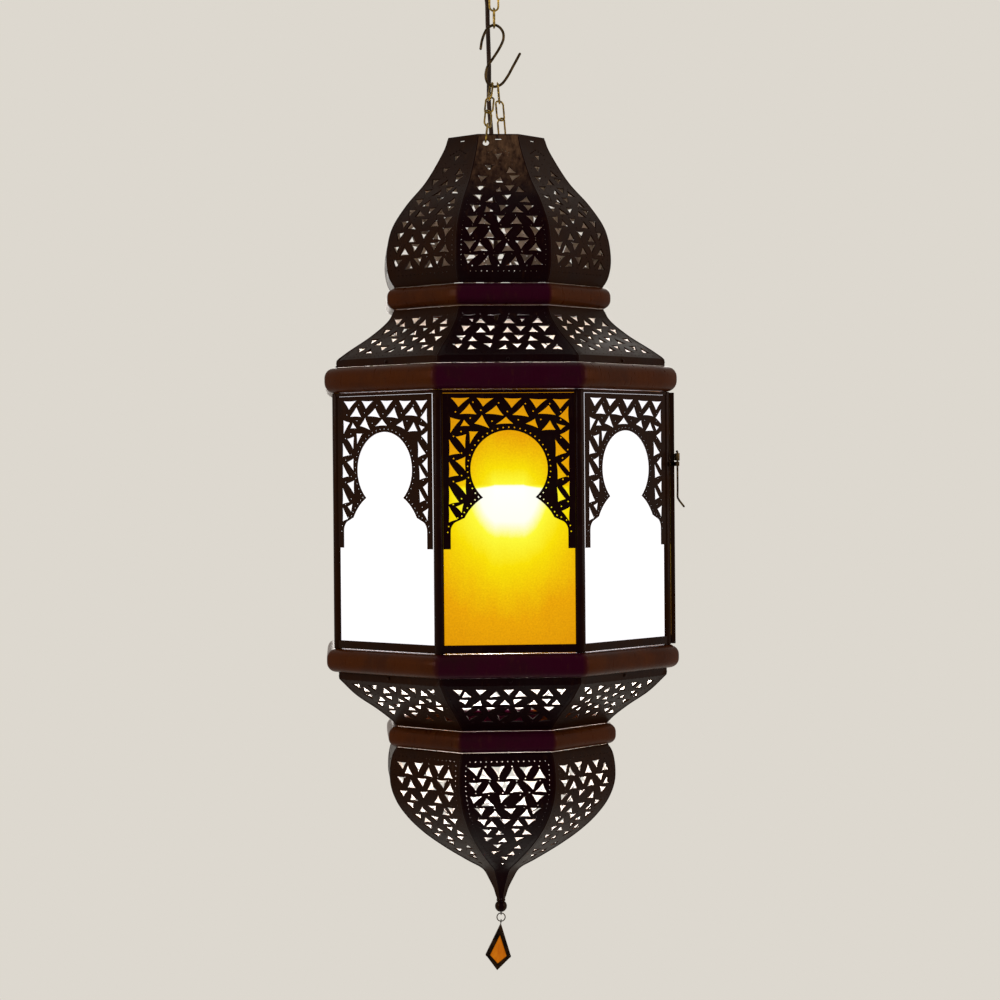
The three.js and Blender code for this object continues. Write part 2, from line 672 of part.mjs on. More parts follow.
// Route of the cable, [x, y, height above the lamp holder's grip as a share of the drop]
const holderZ = rimZ - BULB_DROP + DIFFUSER_H + BULB_BODY_H - CAP_SHOW;
const gripTopZ = holderZ + HOLDER_H + GRIP_H;
const cableTopZ = canopyLowZ - GLAND_H - SEAT_GAP;
const cableLowZ = gripTopZ + SEAT_GAP;
const JOIN_INDEX = 7; // the route's point where the two lengths meet
const CABLE_ROUTE = [
  [-10, 6, 1],
  [-10, 6, 0.986],
  [-9.2, 6, 0.965],
  [-7.4, 6.2, 0.944],
  [-6, 6.5, 0.922],
  [-5.7, 6.8, 0.896],
  [-5.6, 7, 0.869],
  [-5.1, 7, 0.82],
  [-4.7, 7, 0.77],
  [-4.7, 7.2, 0.735],
  [-4.9, 7.4, 0.704],
  [-5, 7.4, 0.672],
  [-4.4, 6.6, 0.64],
  [-3.5, 5.2, 0.608],
  [-2.8, 3.6, 0.571],
  [-2, 2.2, 0.523],
  [-1, 0.8, 0.443],
  [-0.3, 0, 0.363],
  [0, 0, 0.257],
  [0, 0, 0.12],
  [0, 0, 0],
];

function makeCable() {
  const route = CABLE_ROUTE.map(([x, y, share]) => [x, y, cableLowZ + share * (cableTopZ - cableLowZ)]);
  const upper = route.slice(0, JOIN_INDEX + 1);
  const lower = route.slice(JOIN_INDEX);
  const end = upper[JOIN_INDEX];
  upper[JOIN_INDEX] = [end[0], end[1], end[2] + SEAT_GAP];
  piece("cable_upper", wire(upper, CABLE_D, 10, 8), cableSheath);
  piece("cable_lower", wire(lower, CABLE_D, 26, 8), cableSheath);
}

function makeLamp() {
  const lowZ = rimZ - BULB_DROP;
  const bodyZ = lowZ + DIFFUSER_H;
  const capZ = bodyZ + BULB_BODY_H;
  const holderTopZ = holderZ + HOLDER_H;
  const seamAngle = DIFFUSER_SHARE * HALF_TURN;
  const diffuser = [[0, lowZ]];
  for (let i = 1; i <= DIFFUSER_STEPS; i++) {
    const angle = (i / DIFFUSER_STEPS) * seamAngle;
    const up = (1 - Math.cos(angle)) / (1 - Math.cos(seamAngle));
    diffuser.push([BULB_R * Math.sin(angle), lowZ + up * DIFFUSER_H]);
  }
  const seamR = diffuser.at(-1)[0];
  diffuser.push([0, bodyZ]);
  piece("bulb_diffuser", turned(diffuser), frosted);
  piece("bulb_base", turned([
    [0, bodyZ + SEAT_GAP],
    [seamR, bodyZ + SEAT_GAP],
    [BULB_WAIST_SHARE * seamR, bodyZ + 0.55 * BULB_BODY_H],
    [CAP_R, capZ],
    [CAP_R, capZ + CAP_H - CAP_CONE_H],
    [CAP_R / 2, capZ + CAP_H],
    [0, capZ + CAP_H],
  ]), whitePlastic);
  const boreTopZ = holderZ + HOLDER_BORE_DEPTH;
  piece("lamp_holder", turned([
    [0, boreTopZ],
    [HOLDER_BORE_R, boreTopZ],
    [HOLDER_BORE_R, holderZ],
    [HOLDER_R, holderZ],
    [HOLDER_R, holderZ + 0.6 * HOLDER_H],
    [HOLDER_TAPER * HOLDER_R, holderTopZ - CAP_CONE_H],
    [HOLDER_R / 2, holderTopZ],
    [0, holderTopZ],
  ]), blackPlastic);
  piece("cord_grip", turned([
    [0, holderTopZ + SEAT_GAP],
    [GRIP_R, holderTopZ + SEAT_GAP],
    [GRIP_TAPER * GRIP_R, gripTopZ],
    [0, gripTopZ],
  ], 16), blackPlastic);
}

// The small round hole that a strand passes through, in a row's own shares.
function strandHole(profile) {
  const [[topFlat, topZ], [lowFlat, lowZ]] = profile;
  return Array.from({ length: HOLE_SIDES }, (_, i) => {
    const angle = ((i + 0.5) / HOLE_SIDES) * 2 * HALF_TURN;
    const down = (topZ - strandHoleZ + STRAND_HOLE_R * Math.sin(angle)) / (topZ - lowZ);
    const flat = topFlat + (lowFlat - topFlat) * down;
    return [(STRAND_HOLE_R * Math.cos(angle) - STRAND_HOLE_SIDE) / (flat * SLOPE), down];
  });
}

function makeTiers() {
  const dome = profileOf(DOME_SHARES, [RIM_R, DOME_R], [rimZ, domeLowZ]);
  const domeHoles = holesByRow(DOME_HOLES);
  const hung = (panel) => panel === 0 || panel === SIDES / 2;
  piece("dome", tier(dome, SHEET, (row, panel) =>
    row === 0 && hung(panel) ? [strandHole(dome)] : domeHoles(row),
  ), lacquer);

  const upperLipZ = upperFlareZ - UPPER_FLARE_H + FLARE_LIP_H;
  const upperFlare = profileOf(UPPER_FLARE_SHARES, [UPPER_NECK_R, FLARE_R], [upperFlareZ, upperLipZ]);
  upperFlare.push([FLARE_R * FLAT, upperFlareZ - UPPER_FLARE_H]);
  piece("upper_flare", tier(upperFlare, SHEET, holesByRow(UPPER_FLARE_HOLES)), lacquer);

  const lowerLipZ = lowerFlareZ - FLARE_LIP_H;
  const lowerFlare = [[FLARE_R * FLAT, lowerFlareZ]];
  const neckZ = lowerFlareZ - LOWER_FLARE_H;
  lowerFlare.push(...profileOf(LOWER_FLARE_SHARES, [LOWER_NECK_R, FLARE_R], [lowerLipZ, neckZ]));
  piece("lower_flare", tier(lowerFlare, SHEET, holesByRow(LOWER_FLARE_HOLES)), lacquer);

  const bulgeZ = bowlTopZ - BOWL_BULGE_SHARE * BOWL_H;
  const bowl = [
    ...profileOf(BOWL_TOP_SHARES, [BOWL_TOP_R, BOWL_R], [bowlTopZ, bulgeZ]),
    ...profileOf(BOWL_FOOT_SHARES, [SPIRE_TOP_R, BOWL_R], [bulgeZ, spireTopZ]),
    ...profileOf(SPIRE_SHARES, [SPIRE_TIP_R, SPIRE_TOP_R], [spireTopZ, spireLowZ]),
  ];
  piece("bowl", tier(bowl, SHEET, holesByRow(BOWL_HOLES)), lacquer);
}

// A hollow half-round moulding, open on its inner side.
function moulding(cornerR, topZ, height) {
  const face = cornerR * FLAT;
  const inner = face - RING_FLANGE;
  const bend = RING_BEND_SHARE * height;
  const lowZ = topZ - height;
  const step = HALF_TURN / 2 / RING_BEND_STEPS;
  const angles = Array.from({ length: RING_BEND_STEPS + 1 }, (_, i) => i * step);
  const arc = (radius, wall) => {
    const at = (out, up) => [face - bend + radius * out, up];
    const upper = angles.map((a) => at(Math.sin(a), topZ - bend + radius * Math.cos(a)));
    const lower = angles.map((a) => at(Math.cos(a), lowZ + bend - radius * Math.sin(a)));
    return [[inner, topZ - wall], ...upper, ...lower, [inner, lowZ + wall]];
  };
  const outer = arc(bend, 0);
  const inside = arc(bend - RING_WALL, RING_WALL);
  return octagonRing([...inside, ...outer.reverse()]);
}

function makeMouldings() {
  piece("upper_small_ring", moulding(UPPER_SMALL_RING_R, upperSmallRingZ, UPPER_SMALL_RING_H), lacquer);
  piece("upper_main_ring", moulding(MAIN_RING_R, upperMainRingZ, UPPER_MAIN_RING_H), lacquer);
  piece("lower_main_ring", moulding(MAIN_RING_R, lowerMainRingZ, LOWER_MAIN_RING_H), lacquer);
  piece("lower_small_ring", moulding(LOWER_SMALL_RING_R, lowerSmallRingZ, LOWER_SMALL_RING_H), lacquer);
}

// Places of the door, its hinges and its latch, along its panel and outwards from the axis
const doorEdge = postSide + DOOR_EDGE_PAST;
const hingeSide = postSide + HINGE_PAST;
const latchSide = -postSide - LATCH_PAST;
const doorBackFlat = postFlat + POST_R + DOOR_STANDOFF;
const doorFaceFlat = doorBackFlat + DOOR_T;
const hingeFlat = doorFaceFlat + HINGE_OUT;
const doorTopZ = bodyTopZ - DOOR_END_GAP;
const doorLowZ = bodyLowZ + DOOR_END_GAP;
const hingeZs = [doorTopZ - HINGE_INSET, doorLowZ + HINGE_INSET];
const stapleTopZ = doorTopZ - LATCH_DROP;
const stapleLowZ = stapleTopZ - STAPLE_H;
const latchFlat = doorFaceFlat + SEAT_GAP + STAPLE_REACH / 2;

// A knuckle and the lug that carries it, one on the body and one on the door, in the door panel's frame.
function knuckle(lowZ, lug) {
  const zs = [lowZ, lowZ + KNUCKLE_H];
  const barrel = rod(KNUCKLE_R, zs, hingeSide, -hingeFlat);
  const bore = rod(HINGE_PIN_R + RUNNING_GAP, [zs[0] - 1, zs[1] + 1], hingeSide, -hingeFlat);
  return { solids: [barrel, box(...lug, zs)], bore };
}

function makeBodyFrame() {
  const solids = [];
  for (let k = 0; k < SIDES; k++) {
    const angle = (k + 0.5) * PANEL_ANGLE;
    const [x, y] = [postCentreR * Math.sin(angle), -postCentreR * Math.cos(angle)];
    solids.push(rod(POST_R, [bodyLowZ, bodyTopZ], x, y, POST_SIDES));
  }
  const rail = (lowZ, topZ) => octagonRing([
    [screenBackFlat, lowZ],
    [screenFlat, lowZ],
    [screenFlat, topZ],
    [screenBackFlat, topZ],
  ]);
  solids.push(rail(railTopZ, bodyTopZ - RAIL_SET_IN), rail(bodyLowZ + RAIL_SET_IN, railLowZ));
  const turn = DOOR_PANEL * PANEL_ANGLE;
  const bores = [];
  for (const z of hingeZs) {
    const lugSides = [hingeSide - LUG_T / 2, hingeSide + LUG_T / 2];
    const lug = [lugSides, [-hingeFlat, -postFlat - LUG_SEAT_SHARE * POST_R]];
    const made = knuckle(z - KNUCKLE_H - SEAT_GAP, lug);
    solids.push(...made.solids.map((g) => g.rotateZ(turn)));
    bores.push(made.bore.rotateZ(turn));
  }
  piece("body_frame", cut(joined(...solids), ...bores), lacquer);
  const group = panelGroup(DOOR_PANEL);
  ["upper", "lower"].forEach((name, i) => {
    const footZ = hingeZs[i] - KNUCKLE_H - SEAT_GAP;
    const headZ = hingeZs[i] + KNUCKLE_H + SEAT_GAP;
    const pin = turned([
      [0, footZ],
      [HINGE_PIN_R, footZ],
      [HINGE_PIN_R, headZ],
      [KNUCKLE_R, headZ],
      [KNUCKLE_R, headZ + HINGE_HEAD_T],
      [0, headZ + HINGE_HEAD_T],
    ], 12);
    piece(`${name}_hinge_pin`, pin, iron, group).position.set(hingeSide, -hingeFlat, 0);
  });
}

// The screen of one window: a pierced sheet round a keyhole arch. Its top is at y = 0.
function screenShape(half) {
  const cuspY = -ARCH_DEPTH - Math.sqrt(ARCH_R ** 2 - (ARCH_NECK_W / 2) ** 2);
  const lobeY = cuspY - Math.sqrt(LOBE_R ** 2 - (ARCH_NECK_W / 2) ** 2);
  const shoulderY = lobeY + Math.sqrt(LOBE_R ** 2 - (SHOULDER_W / 2) ** 2);
  const footY = -SCREEN_H;
  const footX = ARCH_FOOT_W / 2;
  const lobeFrom = Math.atan2(shoulderY - lobeY, SHOULDER_W / 2);
  const lobeTo = Math.atan2(cuspY - lobeY, ARCH_NECK_W / 2);
  const archFrom = Math.atan2(cuspY + ARCH_DEPTH, ARCH_NECK_W / 2);
  const arc = (y, radius, from, to, steps) =>
    Array.from({ length: steps + 1 }, (_, i) => {
      const angle = from + ((to - from) * i) / steps;
      return new THREE.Vector2(radius * Math.cos(angle), y + radius * Math.sin(angle));
    });
  const right = [
    new THREE.Vector2(footX, footY),
    new THREE.Vector2(footX, footY + ARCH_FOOT_H),
    ...arc(lobeY, LOBE_R, lobeFrom, lobeTo, 3),
  ];
  const head = arc(-ARCH_DEPTH, ARCH_R, archFrom, HALF_TURN - archFrom, 12).slice(1, -1);
  const left = right.map((p) => new THREE.Vector2(-p.x, p.y)).reverse();
  const outline = [
    new THREE.Vector2(-half, footY),
    new THREE.Vector2(-half, 0),
    new THREE.Vector2(half, 0),
    new THREE.Vector2(half, footY),
    ...right,
    ...head,
    ...left,
  ];
  const shape = new THREE.Shape(outline.reverse());
  shape.holes.push(...screenHoles(half).map((points) => new THREE.Path(points)));
  return shape;
}

// The triangles cut in the screen: a zigzag row along the top, and a column down each side.
function screenHoles(half) {
  const field = half - FIELD_SIDE_MARGIN;
  const pitch = (2 * field) / FIELD_COLUMNS;
  const high = -FIELD_TOP_MARGIN;
  const sag = FIELD_SAG / half ** 2;
  const triangle = (...points) => points.map(([x, y]) => new THREE.Vector2(x, y - sag * x ** 2));
  const holes = [];
  for (let i = 0; i < FIELD_COLUMNS; i++) {
    const x = -field + (i + 0.5) * pitch;
    const base = 0.4 * pitch;
    holes.push(triangle([x - base, high], [x + base, high], [x, high - 0.62 * FIELD_ROW_H]));
    if (i < FIELD_COLUMNS - 1) {
      const next = x + pitch / 2;
      const low = high - FIELD_ROW_H;
      holes.push(triangle([next - base, low], [next + base, low], [next, high - 0.3 * FIELD_ROW_H]));
    }
  }
  for (const side of [-1, 1]) {
    for (let i = 0; i < SIDE_HOLES; i++) {
      const y = high - FIELD_ROW_H - SIDE_HOLE_DROP - i * SIDE_HOLE_PITCH;
      const tip = [side * (field - SIDE_HOLE_W), y - 0.5 * SIDE_HOLE_PITCH];
      holes.push(triangle([side * field, y], [side * field, y - 0.62 * SIDE_HOLE_PITCH], tip));
    }
  }
  return holes;
}

const COMPASS = ["front", "front_right", "right", "back_right", "back", "back_left", "left", "front_left"];

const rectangle = (half, lowY, topY) => {
  const corners = [[-half, lowY], [half, lowY], [half, topY], [-half, topY]];
  return corners.map(([x, y]) => new THREE.Vector2(x, y));
};
const screenTopZ = railTopZ - SEAT_GAP;

function makeWindows() {
  for (let panel = 0; panel < SIDES; panel++) {
    if (panel === DOOR_PANEL) continue;
    const group = panelGroup(panel);
    const screen = plate(screenShape(screenHalf), SCREEN_T, screenBackFlat);
    piece(`${COMPASS[panel]}_screen`, screen, lacquer, group).position.z = screenTopZ;
    const pane = new THREE.Shape(rectangle(paneHalf, bodyLowZ, bodyTopZ - SEAT_GAP));
    piece(`${COMPASS[panel]}_pane`, plate(pane, PANE_T, paneBackFlat), panel % 2 ? frosted : amber, group);
  }
}

function makeDoor() {
  const group = panelGroup(DOOR_PANEL);
  const outline = new THREE.Shape(rectangle(doorEdge, doorLowZ, doorTopZ));
  const opening = rectangle(doorEdge - DOOR_RAIL, doorLowZ + DOOR_RAIL, doorTopZ - DOOR_RAIL);
  outline.holes.push(new THREE.Path(opening.reverse()));
  const solids = [plate(outline, DOOR_T, doorBackFlat)];
  const bores = [];
  for (const z of hingeZs) {
    const lug = [[doorEdge - 1, hingeSide], [-doorFaceFlat, -doorFaceFlat + LUG_T]];
    const made = knuckle(z, lug);
    solids.push(...made.solids);
    bores.push(made.bore);
  }
  piece("door_frame", cut(joined(...solids), ...bores), lacquer, group);
  const screenBack = doorBackFlat - SEAT_GAP - DOOR_SCREEN_T;
  const screen = plate(screenShape(screenHalf), DOOR_SCREEN_T, screenBack);
  piece("door_screen", screen, lacquer, group).position.z = screenTopZ;
  const pane = new THREE.Shape(rectangle(paneHalf, railLowZ + SEAT_GAP, railTopZ - SEAT_GAP));
  piece("door_pane", plate(pane, PANE_T, screenBack - SEAT_GAP - PANE_T), amber, group);
}

// The drop pin's middle line, as [along the door, outwards, height above the kink] in millimetres.
const PIN_BENDS = [
  [0, 0, 8],
  [0, 0, 1],
  [0, 0.8, -1],
  [0, PIN_TAIL_OUT, -PIN_TAIL_DOWN],
];
// Its bent head, with heights above the middle of the wire where it rests on the staple.
const PIN_HEAD = [
  [5, 0, 0.4],
  [2, 0, 0.4],
  [0.4, 0, 0],
  [0, 0, -1.6],
  [0, 0, -6],
];

function makeLatch() {
  const group = panelGroup(DOOR_PANEL);
  const boreR = LATCH_WIRE / 2 + RUNNING_GAP;
  const staple = box(
    [latchSide - STAPLE_END, STAPLE_HOLD - doorEdge],
    [-doorFaceFlat - SEAT_GAP - STAPLE_REACH, -doorFaceFlat - SEAT_GAP],
    [stapleLowZ, stapleTopZ],
  );
  const stapleBore = rod(boreR, [stapleLowZ - 1, stapleTopZ + 1], latchSide, -latchFlat);
  piece("latch_staple", cut(staple, stapleBore), iron, group);

  const keeperTopZ = stapleLowZ - KEEPER_DROP;
  const keeperLowZ = keeperTopZ - KEEPER_H;
  const keeper = box(
    [latchSide - KEEPER_END, latchSide - KEEPER_END + KEEPER_W],
    [-latchFlat - KEEPER_LIP, -postFlat - POST_R - KEEPER_SEAT],
    [keeperLowZ, keeperTopZ],
  );
  const slot = boreR + KEEPER_PLAY;
  const notch = box(
    [latchSide - slot, latchSide + slot],
    [-latchFlat - 2 * KEEPER_LIP, -latchFlat + boreR],
    [keeperLowZ - 1, keeperTopZ + 1],
  );
  piece("latch_keeper", cut(keeper, notch), iron, group);

  const headZ = stapleTopZ + SEAT_GAP + LATCH_WIRE / 2;
  const from = (z) => ([along, out, up]) => [latchSide + along, -latchFlat - out, z + up];
  const line = [...PIN_HEAD.map(from(headZ)), ...PIN_BENDS.map(from(headZ - PIN_STRAIGHT))];
  piece("latch_pin", wire(line, LATCH_WIRE, PIN_STEPS), iron, group);
}

// The kite of the pendant: its top corner is at the origin.
function kite(inset) {
  const wide = PENDANT_W / 2;
  const widestY = -PENDANT_WIDEST * PENDANT_H;
  const upper = Math.atan2(wide, -widestY);
  const lower = Math.atan2(wide, PENDANT_H + widestY);
  const sideInset = inset / Math.cos((upper - lower) / 2);
  return [
    [0, -inset / Math.sin(upper)],
    [-wide + sideInset, widestY],
    [0, -PENDANT_H + inset / Math.sin(lower)],
    [wide - sideInset, widestY],
  ].map(([x, y]) => new THREE.Vector2(x, y));
}

function makeFinial() {
  const flangeTopZ = spireLowZ - SEAT_GAP;
  const ballTopZ = flangeTopZ - FLANGE_H - SEAT_GAP;
  const ballZ = ballTopZ - BALL_CUT_SHARE * BALL_R;
  piece("finial_flange", rod(FLANGE_R, [flangeTopZ - FLANGE_H, flangeTopZ], 0, 0, 16), lacquer);
  const ball = [[0, ballZ - BALL_R]];
  for (let i = 1; i < BALL_STEPS; i++) {
    const angle = (i / BALL_STEPS) * HALF_TURN;
    ball.push([BALL_R * Math.sin(angle), ballZ - BALL_R * Math.cos(angle)]);
  }
  const capped = ball.filter(([, z]) => z < ballTopZ);
  capped.push([BALL_R * Math.sqrt(1 - BALL_CUT_SHARE ** 2), ballTopZ], [0, ballTopZ]);
  const eyeZ = ballZ - BALL_R - EYE_R + EYE_SINK;
  piece("finial_ball", joined(turned(capped, 16), eye(eyeZ)), lacquer);

  const eyeWireZ = eyeZ - EYE_R;
  const ringTopZ = eyeWireZ + (EYE_WIRE + RING_WIRE) / 2 + CHAIN_GAP;
  const ringZ = ringTopZ - RING_R;
  const ring = new THREE.TorusGeometry(RING_R, RING_WIRE / 2, WIRE_SIDES, 16).rotateX(HALF_TURN / 2);
  piece("pendant_ring", ring, brass).position.z = ringZ;

  const ringLowZ = ringZ - RING_R;
  const pendantEyeTopZ = ringLowZ + (EYE_WIRE + RING_WIRE) / 2 + CHAIN_GAP;
  const hanging = new THREE.Group();
  hanging.position.z = pendantEyeTopZ;
  hanging.rotation.y = PENDANT_LEAN * RAD;
  lantern.add(hanging);
  const frameShape = new THREE.Shape(kite(0));
  frameShape.holes.push(new THREE.Path(kite(CAME_W)));
  const kiteTopZ = -2 * EYE_R + PENDANT_EYE_SINK;
  const extrude = (shape, thickness) =>
    new THREE.ExtrudeGeometry(shape, { depth: thickness, bevelEnabled: false })
      .rotateX(HALF_TURN / 2)
      .translate(0, thickness / 2, kiteTopZ);
  piece("pendant_frame", joined(extrude(frameShape, CAME_T), eye(-EYE_R)), iron, hanging);
  const glass = new THREE.Shape(kite(CAME_W + RUNNING_GAP));
  piece("pendant_glass", extrude(glass, PENDANT_GLASS_T), amber, hanging);
}

makeCeilingFitting();
makeUpperChain();
makeSHook();
makeStrand("front", -1, FRONT_TWISTS);
makeStrand("back", 1, BACK_TWISTS);
makeCable();
makeLamp();
makeTiers();
makeMouldings();
makeBodyFrame();
makeWindows();
makeDoor();
makeLatch();
makeFinial();

export default lantern;
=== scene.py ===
"""An octagonal hanging lantern of pierced, lacquered sheet metal, dressed around its solids.

Shapes are worked out in millimetres in the part's frame: +Z is up, the front window faces -Y and the door
faces +X. Panel k of the eight is turned by k eighths of a round from the front.
"""

import math

import bmesh
import bpy
import numpy as np
from mathutils import Matrix, Vector
from mathutils.geometry import delaunay_2d_cdt


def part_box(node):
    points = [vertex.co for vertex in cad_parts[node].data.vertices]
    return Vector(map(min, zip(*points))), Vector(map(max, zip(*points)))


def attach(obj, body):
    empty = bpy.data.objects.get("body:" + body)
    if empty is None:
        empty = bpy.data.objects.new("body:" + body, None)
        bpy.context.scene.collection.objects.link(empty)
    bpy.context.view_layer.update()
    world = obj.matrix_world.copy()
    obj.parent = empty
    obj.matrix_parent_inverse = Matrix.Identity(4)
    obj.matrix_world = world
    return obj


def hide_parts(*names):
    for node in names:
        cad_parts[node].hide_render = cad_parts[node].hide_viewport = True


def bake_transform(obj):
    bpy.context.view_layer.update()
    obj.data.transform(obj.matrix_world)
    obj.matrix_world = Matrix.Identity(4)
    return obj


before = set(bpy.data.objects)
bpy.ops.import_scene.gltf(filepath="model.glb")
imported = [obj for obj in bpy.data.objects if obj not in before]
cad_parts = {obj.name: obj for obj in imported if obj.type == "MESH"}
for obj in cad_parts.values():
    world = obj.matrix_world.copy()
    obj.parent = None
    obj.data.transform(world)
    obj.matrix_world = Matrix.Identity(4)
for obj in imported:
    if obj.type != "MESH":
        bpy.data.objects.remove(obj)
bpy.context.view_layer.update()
scene = bpy.context.scene

MM = 0.001
FLAT = math.cos(math.pi / 8)  # from a corner's radius to the distance of a flat side
SLOPE = math.tan(math.pi / 8)  # half a side's width over that distance
LANTERN = "lantern"


# Camera

EYE_AWAY, EYE_LEVEL = 2.212, -0.515  # metres
EYE_ASIDE, LOOK_ASIDE, LOOK_DOWN, TILT = 3.8, 0.054, 0.589, 0.45  # degrees
LENS, SENSOR = 84.0, 36.0  # millimetres


def place_camera():
    """Stands in front of the lantern at eye level, a little to its left, and tilted as the photo is."""
    side, aside, down, roll = (math.radians(a) for a in (EYE_ASIDE, LOOK_ASIDE, LOOK_DOWN, TILT))
    ahead = Vector((math.sin(side + aside), math.cos(side + aside), 0))
    right = Vector((ahead.y, -ahead.x, 0))
    look = ahead * math.cos(down) - Vector((0, 0, 1)) * math.sin(down)
    up = right.cross(look)
    across = right * math.cos(roll) - up * math.sin(roll)
    over = up * math.cos(roll) + right * math.sin(roll)
    camera = bpy.data.objects.new("camera", bpy.data.cameras.new("camera"))
    camera.data.sensor_width = SENSOR
    camera.data.lens = LENS
    camera.data.clip_end = 50
    place = Vector((-EYE_AWAY * math.sin(side), -EYE_AWAY * math.cos(side), EYE_LEVEL))
    turn = Matrix((across, over, -look)).transposed().to_4x4()
    camera.matrix_world = Matrix.Translation(place) @ turn
    scene.collection.objects.link(camera)
    scene.camera = camera


place_camera()


# Curves and surfaces

def smooth(points, per=6):
    """A centripetal Catmull-Rom curve through points: between b and c it is the cubic with their values and
    slopes, in per steps."""
    p = np.asarray(points, float)
    p = np.vstack([2 * p[0] - p[1], p, 2 * p[-1] - p[-2]])
    a, b, c, d = p[:-3], p[1:-2], p[2:-1], p[3:]
    ab, bc, cd = (np.sqrt(np.linalg.norm(v - u, axis=1, keepdims=True)) for u, v in ((a, b), (b, c), (c, d)))
    slope_b = ((b - a) / ab - (c - a) / (ab + bc) + (c - b) / bc) * bc
    slope_c = ((c - b) / bc - (d - b) / (bc + cd) + (d - c) / cd) * bc
    t = np.linspace(0, 1, per, endpoint=False)[:, None, None]
    rows = (2 * t**3 - 3 * t**2 + 1) * b + (t**3 - 2 * t**2 + t) * slope_b
    rows = rows + (3 * t**2 - 2 * t**3) * c + (t**3 - t**2) * slope_c
    return np.vstack([rows.transpose(1, 0, 2).reshape(-1, p.shape[1]), p[-2]])


def spaced(line, step):
    """The same line with its points an even step apart."""
    long = np.concatenate([[0], np.cumsum(np.linalg.norm(np.diff(line, axis=0), axis=1))])
    at = np.linspace(0, long[-1], max(2, int(round(long[-1] / step)) + 1))
    return np.column_stack([np.interp(at, long, line[:, k]) for k in range(line.shape[1])])


def turns(count, start=0.0, end=2 * math.pi, closed=True):
    """Evenly spaced angles from start to end. A closed round leaves out its end."""
    return np.linspace(start, end, count, endpoint=not closed)


def grid_faces(rows, columns, close_rows=False, close_columns=False):
    """Quads between neighbouring points of a grid that is stored row by row."""
    r = np.arange(rows if close_rows else rows - 1)[:, None]
    c = np.arange(columns if close_columns else columns - 1)[None, :]
    r1, c1 = (r + 1) % rows, (c + 1) % columns
    quads = [r * columns + c, r * columns + c1, r1 * columns + c1, r1 * columns + c]
    return np.stack(quads, -1).reshape(-1, 4)


def grid_part(points, close_rows=False, close_columns=False, cap=False):
    """A grid of points as one part, its points and its faces. cap fills its first and its last row."""
    rows, columns = points.shape[:2]
    faces = grid_faces(rows, columns, close_rows, close_columns).tolist()
    if cap:
        faces.append(list(range(columns))[::-1])
        faces.append([(rows - 1) * columns + k for k in range(columns)])
    return points.reshape(-1, 3), faces


def turned(profile, sides=48, x=0.0, y=0.0):
    """A solid of revolution: each profile point (radius, z) goes round the upright line through (x, y)."""
    profile = np.asarray(profile, float)
    angle = turns(sides)
    radius, z = profile[:, 0][:, None], profile[:, 1][:, None]
    points = np.stack([x + radius * np.cos(angle), y + radius * np.sin(angle), z + 0 * angle], -1)
    return grid_part(points, close_columns=True, close_rows=bool(np.allclose(profile[0], profile[-1])))


def tube(path, radius, sides=12, closed=False, round_ends=True, steady=(0, 1, 0)):
    """A round wire: circles of the radius square to the path, turned by a steady direction that the path
    never follows. Its ends close as half spheres, or flat."""
    path = np.asarray(path, float)
    size = np.full(len(path), float(radius))
    if closed:
        ahead = np.roll(path, -1, 0) - np.roll(path, 1, 0)
    else:
        if round_ends:
            lift = np.array([0.999, 0.9, 0.7, 0.38])[:, None]
            first, last = path[0] - path[1], path[-1] - path[-2]
            first, last = first / np.linalg.norm(first), last / np.linalg.norm(last)
            path = np.vstack([path[0] + first * radius * lift, path, path[-1] + last * radius * lift[::-1]])
            shrink = radius * np.sqrt(1 - lift[:, 0] ** 2)
            size = np.concatenate([shrink, size, shrink[::-1]])
        ahead = np.gradient(path, axis=0)
    ahead /= np.linalg.norm(ahead, axis=1, keepdims=True)
    across = np.cross(ahead, np.array(steady, float))
    across /= np.linalg.norm(across, axis=1, keepdims=True)
    over = np.cross(across, ahead)
    angle = turns(sides)[:, None]
    ring = across[:, None] * np.cos(angle) + over[:, None] * np.sin(angle)
    return grid_part(path[:, None] + ring * size[:, None, None], closed, True, not closed)


def on_panel(k, across, out, z):
    """A place on panel k: across along the panel, out from the axis, z up."""
    angle = np.asarray(k) * math.pi / 4
    return np.stack([
        out * np.sin(angle) + across * np.cos(angle),
        -out * np.cos(angle) + across * np.sin(angle),
        z + 0 * across,
    ], -1)


def block(k, across, out, z, bevel=0.4):
    """A block on panel k with bevelled edges: the hull of its corners, each drawn in along two axes."""
    spans = np.array([across, out, z], float)
    mesh = bmesh.new()
    signs = np.array([(a, b, c) for a in (0, 1) for b in (0, 1) for c in (0, 1)])
    corners = np.where(signs == 0, spans[:, 0], spans[:, 1])
    inward = np.where(signs == 0, bevel, -bevel)
    spots = np.vstack([corners + inward * (np.arange(3) != axis) for axis in range(3)])
    for spot in on_panel(k, spots[:, 0], spots[:, 1], spots[:, 2]):
        mesh.verts.new(spot)
    bmesh.ops.convex_hull(mesh, input=mesh.verts[:])
    mesh.verts.index_update()
    part = np.array([v.co for v in mesh.verts]), [[v.index for v in f.verts] for f in mesh.faces]
    mesh.free()
    return part


def domed_rivet(k, across, out, z, rows):
    """A rivet's head on panel k, whose rows are (radius, height above out)."""
    radius, high = np.array(rows).T[:, :, None]
    angle = turns(12)
    side = across + radius * np.cos(angle)
    spots = on_panel(k, side, out + high + 0 * angle, z + radius * np.sin(angle))
    return grid_part(spots, close_columns=True, cap=True)


